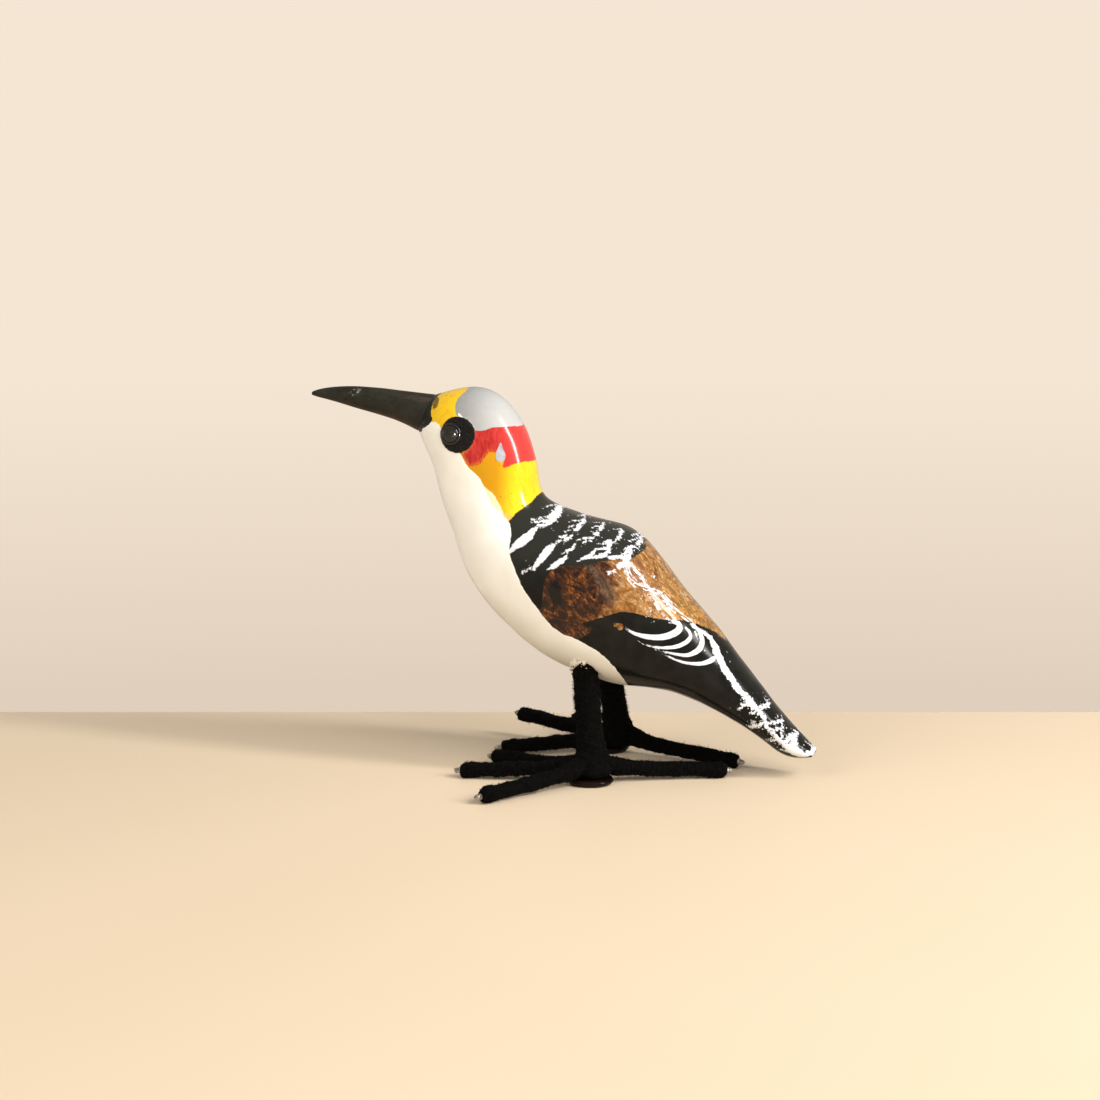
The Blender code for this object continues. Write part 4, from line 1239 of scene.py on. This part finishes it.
def make_leg(leg, thread, fibre, seed):
    """A leg's winding down to its ankle, the thread crossed over the toes' roots there, and their fuzz."""
    top = leg.belly + leg.up * 3.0
    low = leg.ankle - leg.up * 1.0
    share = np.linspace(0.0, 1.0, LEG_ROWS)[:, None]
    line = low + (top - low) * share
    side = unit(np.cross(leg.up, (1.0, 0.0, 0.0)))
    gone = share[:, 0] * np.linalg.norm(top - low)
    radius = LEG_RADIUS - 0.05 + 0.25 * np.exp(-((gone / 4.0) ** 2))
    shank = wound(line, side, radius, LEG_SIDES, 0.10, seed, 0.12)
    bottom = PAD_HEIGHT + 0.1
    rise = np.linspace(0.0, math.pi, ANKLE_ROWS)
    heights = bottom + ANKLE_BALL_HALF * (1.0 - np.cos(rise))
    radius = np.interp(heights - bottom, ANKLE_BALL_HEIGHTS, ANKLE_BALL_RADII)
    level = np.r_[leg.ankle[:2], 0.0]
    above = np.clip(heights - ANKLE_WIRE_HEIGHT, 0.0, None)[:, None, None]
    ball = turned(np.stack([radius, heights], axis=1), level, (0, 0, 1), ANKLE_SIDES)
    ball = ball + above * np.array((leg.up[0] / leg.up[2], leg.up[1] / leg.up[2], 0.0))
    angle = (TURN * np.arange(ANKLE_SIDES) / ANKLE_SIDES)[None, :]
    one_way, other_way = 14.0 * angle + 9.0 * rise[:, None], 11.0 * angle - 12.0 * rise[:, None]
    crossed = np.abs(np.sin(one_way)) * np.abs(np.sin(other_way))
    swell = wander(ball, 4.0, seed + 3) * 0.3 + wander(ball, 1.1, seed + 4) * 0.1 + crossed * 0.2
    ball = ball + grid_normals(ball) * (swell * np.sin(rise)[:, None])[..., None]
    name = f"{leg.side}_leg"
    winding = many([skin(shank), skin(ball)])
    make_piece(f"{name}_winding", winding, thread, [f"{name}_sleeve"])
    hair = many([fuzz(shank, LEG_HAIRS, 0.75, seed + 60), fuzz(ball, ANKLE_HAIRS, 0.6, seed + 61)])
    make_piece(f"{name}_fuzz", hair, fibre)


def make_pad(leg, finish, seed):
    """A poured pad: a rounded profile spun upright, with an edge that runs a little out of round."""
    edge = np.radians(np.linspace(-60.0, 90.0, 12))
    profile = [(0.02, 0.0), (PAD_RADIUS - 0.45, 0.0)]
    profile += [(PAD_RADIUS - 0.5 + 0.5 * math.cos(a), PAD_HEIGHT - 0.5 + 0.5 * math.sin(a)) for a in edge]
    profile += [(PAD_RADIUS * 0.6, PAD_HEIGHT + 0.03), (0.02, PAD_HEIGHT + 0.05)]
    rings = turned(profile, leg.pad, (0, 0, 1), PAD_SIDES)
    outwards = rings - leg.pad
    outwards[..., 2] = 0.0
    rings = rings + outwards * (wander(rings, 6.0, seed)[..., None] * 0.02)
    make_piece(f"{leg.side}_pad", skin(rings), finish, [f"{leg.side}_foot_pad"])


def make_crumbs(leg, belly, finish, seed):
    """Crumbs and a ragged lip of paint where a leg enters the belly: uneven balls, size (1 + 0.35 wander).

    For each turn round the leg, the joint is the belly's point that lies nearest to the leg's side.
    """
    draw = np.random.default_rng(seed)
    rise = np.linspace(0.05, math.pi - 0.05, 7)
    angle = TURN * np.arange(9) / 9
    ball = np.stack([
        np.sin(rise)[:, None] * np.cos(angle), np.sin(rise)[:, None] * np.sin(angle),
        np.cos(rise)[:, None] * np.ones(9),
    ], axis=-1)
    shapes = []
    for k in range(CRUMBS):
        turn = math.pi - leg.out * draw.normal(0.85, 0.55)
        spoke = np.array((math.cos(turn), math.sin(turn), 0.0))
        side = leg.belly + spoke * (LEG_RADIUS - 0.1)
        off = belly - side
        off = off - (off @ leg.up)[:, None] * leg.up
        joint = belly[(off**2).sum(1).argmin()]
        centre = joint + spoke * draw.uniform(-0.1, 0.3)
        centre = centre - leg.up * (draw.uniform(-0.1, 1.2) if k % 3 else 0.5)
        size = draw.uniform(0.14, 0.36)
        grain = ball * size * (1.0 + 0.35 * wander(ball, 1.6, seed + k))[..., None]
        shapes.append(skin(centre + grain * draw.uniform(0.7, 1.4, 3)))
    make_piece(f"{leg.side}_leg_crumbs", many(shapes), finish)


# ---- the table, the light and the camera ---------------------------------------------------------------
CAMERA_TURN = 11.0
CAMERA_RISE = 9.0
CAMERA_AWAY = 450.0
CAMERA_AIM = (-1.85, -2.9, 44.5)  # in the row's frame
CAMERA_LENS = 73.64
TABLE_BACK = 493.0  # from under the camera to the table's back edge
TABLE_HALF_WIDTH = 1500.0
TABLE_DEPTH = 2000.0
TABLE_THICK = 30.0
# A look's rise over its length where the wall is darkest, and where it is palest.
WALL_FOOT, WALL_PALE = -0.215, -0.08
WALL_IN_MIRRORS = 0.45
AIR_TINT = (1.0, 0.96, 0.90)
AIR_STRENGTH = 0.26
# Each light's turn and rise in degrees, its distance, its width and height, its power and its tint.
LIGHTS = {
    "window": (77.0, 31.0, 600.0, 72.0, 360.0, 2.8, (1.0, 0.98, 0.95)),
    "key": (50.0, 33.0, 900.0, 600.0, 500.0, 5.6, (1.0, 0.97, 0.92)),
    "fill": (-40.0, 30.0, 900.0, 600.0, 500.0, 3.5, (1.0, 0.97, 0.92)),
    "eye_light": (22.0, 3.0, 420.0, 22.0, 22.0, 4.5, (1.0, 0.98, 0.95)),
}


def camera_back():
    turn, rise = math.radians(CAMERA_TURN), math.radians(CAMERA_RISE)
    return Vector((math.sin(turn) * math.cos(rise), -math.cos(turn) * math.cos(rise), math.sin(rise)))


def make_camera():
    data = bpy.data.cameras.new("camera")
    data.lens = CAMERA_LENS
    data.sensor_width = 36.0
    data.clip_start, data.clip_end = 0.01, 20.0
    camera = bpy.data.objects.new("camera", data)
    camera.location = (Vector(CAMERA_AIM) + camera_back() * CAMERA_AWAY) * MM
    camera.rotation_mode = "QUATERNION"
    camera.rotation_quaternion = (-camera_back()).to_track_quat("-Z", "Y")
    bpy.context.scene.collection.objects.link(camera)
    bpy.context.scene.camera = camera


def make_table():
    """A plain pale table top: a thick slab whose back edge runs square to the view."""
    f = Finish("pale_table")
    place = f.place()
    tone = f.mix(f.noise(place, 0.01, 2.0), colour("E0CBAE"), colour("E6D3B9"))
    finish = f.wear(Base_Color=tone, Roughness=0.55)
    back = camera_back()
    onward = unit(-np.array((back.x, back.y, 0.0)))
    right = np.array((onward[1], -onward[0], 0.0)) * TABLE_HALF_WIDTH
    deep = onward * TABLE_DEPTH
    under = (np.array(CAMERA_AIM) + np.array(back) * CAMERA_AWAY) * (1.0, 1.0, 0.0)
    edge = under + onward * TABLE_BACK
    corners = np.array((edge - right, edge + right, edge + right - deep, edge - right - deep))
    points = np.vstack([corners, corners - (0.0, 0.0, TABLE_THICK)]) * MM
    faces = [(0, 3, 2, 1), (4, 5, 6, 7), (0, 1, 5, 4), (1, 2, 6, 5), (2, 3, 7, 6), (3, 0, 4, 7)]
    mesh = bpy.data.meshes.new("table_top")
    mesh.from_pydata([tuple(p) for p in points], [], faces)
    mesh.materials.append(finish)
    table = bpy.data.objects.new("table_top", mesh)
    bpy.context.scene.collection.objects.link(table)


def make_light(name, mirrored=True, only=()):
    """A flat soft light that looks at the bird's middle. Where `only` holds pieces, it lights just those."""
    turn, rise, away, width, height, power, tint = LIGHTS[name]
    a, e = math.radians(turn), math.radians(rise)
    back = Vector((math.sin(a) * math.cos(e), -math.cos(a) * math.cos(e), math.sin(e)))
    data = bpy.data.lights.new(name, "AREA")
    data.shape = "RECTANGLE"
    data.size, data.size_y = width * MM, height * MM
    data.energy = power
    data.color = tint
    light = bpy.data.objects.new(name, data)
    light.location = (Vector((0.0, 0.0, 40.0)) + back * away) * MM
    light.rotation_mode = "QUATERNION"
    light.rotation_quaternion = (-back).to_track_quat("-Z", "Y")
    light.visible_glossy = mirrored
    if only:
        lit = bpy.data.collections.new(name + "_lights")
        for piece in only:
            lit.objects.link(piece)
        light.light_linking.receiver_collection = lit
    bpy.context.scene.collection.objects.link(light)


def make_room():
    """The air round the bird: a warm wall that pales upwards, for the eye, and whiter air for its light."""
    world = bpy.data.worlds.new("room")
    world.use_nodes = True
    tree = world.node_tree
    tree.nodes.clear()
    looks = tree.nodes.new("ShaderNodeTexCoord")
    split = tree.nodes.new("ShaderNodeSeparateXYZ")
    tree.links.new(looks.outputs["Generated"], split.inputs[0])
    ramp = tree.nodes.new("ShaderNodeMapRange")
    ramp.inputs["From Min"].default_value = WALL_FOOT
    ramp.inputs["From Max"].default_value = WALL_PALE
    tree.links.new(split.outputs["Z"], ramp.inputs["Value"])
    shade = tree.nodes.new("ShaderNodeMix")
    shade.data_type = "RGBA"
    shade.inputs[6].default_value = (*colour("E0CFBC"), 1.0)
    shade.inputs[7].default_value = (*colour("F5E6D4"), 1.0)
    tree.links.new(ramp.outputs["Result"], shade.inputs[0])
    seen = tree.nodes.new("ShaderNodeBackground")
    tree.links.new(shade.outputs[2], seen.inputs["Color"])
    air = tree.nodes.new("ShaderNodeBackground")
    air.inputs["Color"].default_value = (*AIR_TINT, 1.0)
    air.inputs["Strength"].default_value = AIR_STRENGTH
    path = tree.nodes.new("ShaderNodeLightPath")
    choose = tree.nodes.new("ShaderNodeMixShader")
    out = tree.nodes.new("ShaderNodeOutputWorld")
    either = tree.nodes.new("ShaderNodeMath")
    either.operation = "MULTIPLY_ADD"
    either.inputs[1].default_value = WALL_IN_MIRRORS
    tree.links.new(path.outputs["Is Glossy Ray"], either.inputs[0])
    tree.links.new(path.outputs["Is Camera Ray"], either.inputs[2])
    tree.links.new(either.outputs[0], choose.inputs[0])
    tree.links.new(air.outputs[0], choose.inputs[1])
    tree.links.new(seen.outputs[0], choose.inputs[2])
    tree.links.new(choose.outputs[0], out.inputs["Surface"])
    bpy.context.scene.world = world


# Seeds of the random draws: a leg's, its first toe's, its pad's and its crumbs'. SIDE_STEP parts the two
# legs' windings.
LEG_SEED, TOE_SEED, PAD_SEED, CRUMB_SEED = 100, 200, 300, 400
SIDE_STEP = 20


def main():
    thread, fibre, wire, resin = black_thread(), loose_fibre(), bare_wire(), dark_resin()
    crumbs, bead = paint_crumbs(), black_bead()
    belly = make_carving(painted_wood())
    make_beak(black_lacquer())
    eyes = []
    for number, side in enumerate(("left", "right")):
        eyes.append(make_eye(side, bead))
        leg = Leg(side)
        make_leg(leg, thread, fibre, LEG_SEED + SIDE_STEP * number)
        for place, toe in enumerate(TOES[side]):
            make_toe(leg, toe, thread, fibre, wire, TOE_SEED + SIDE_STEP * number + place)
        make_pad(leg, resin, PAD_SEED + number)
        make_crumbs(leg, belly, crumbs, CRUMB_SEED + number)
    make_camera()
    make_table()
    make_room()
    make_light("window")
    make_light("key", mirrored=False)
    make_light("fill", mirrored=False)
    make_light("eye_light", only=eyes)
    bpy.context.scene.view_settings.view_transform = "Standard"


main()
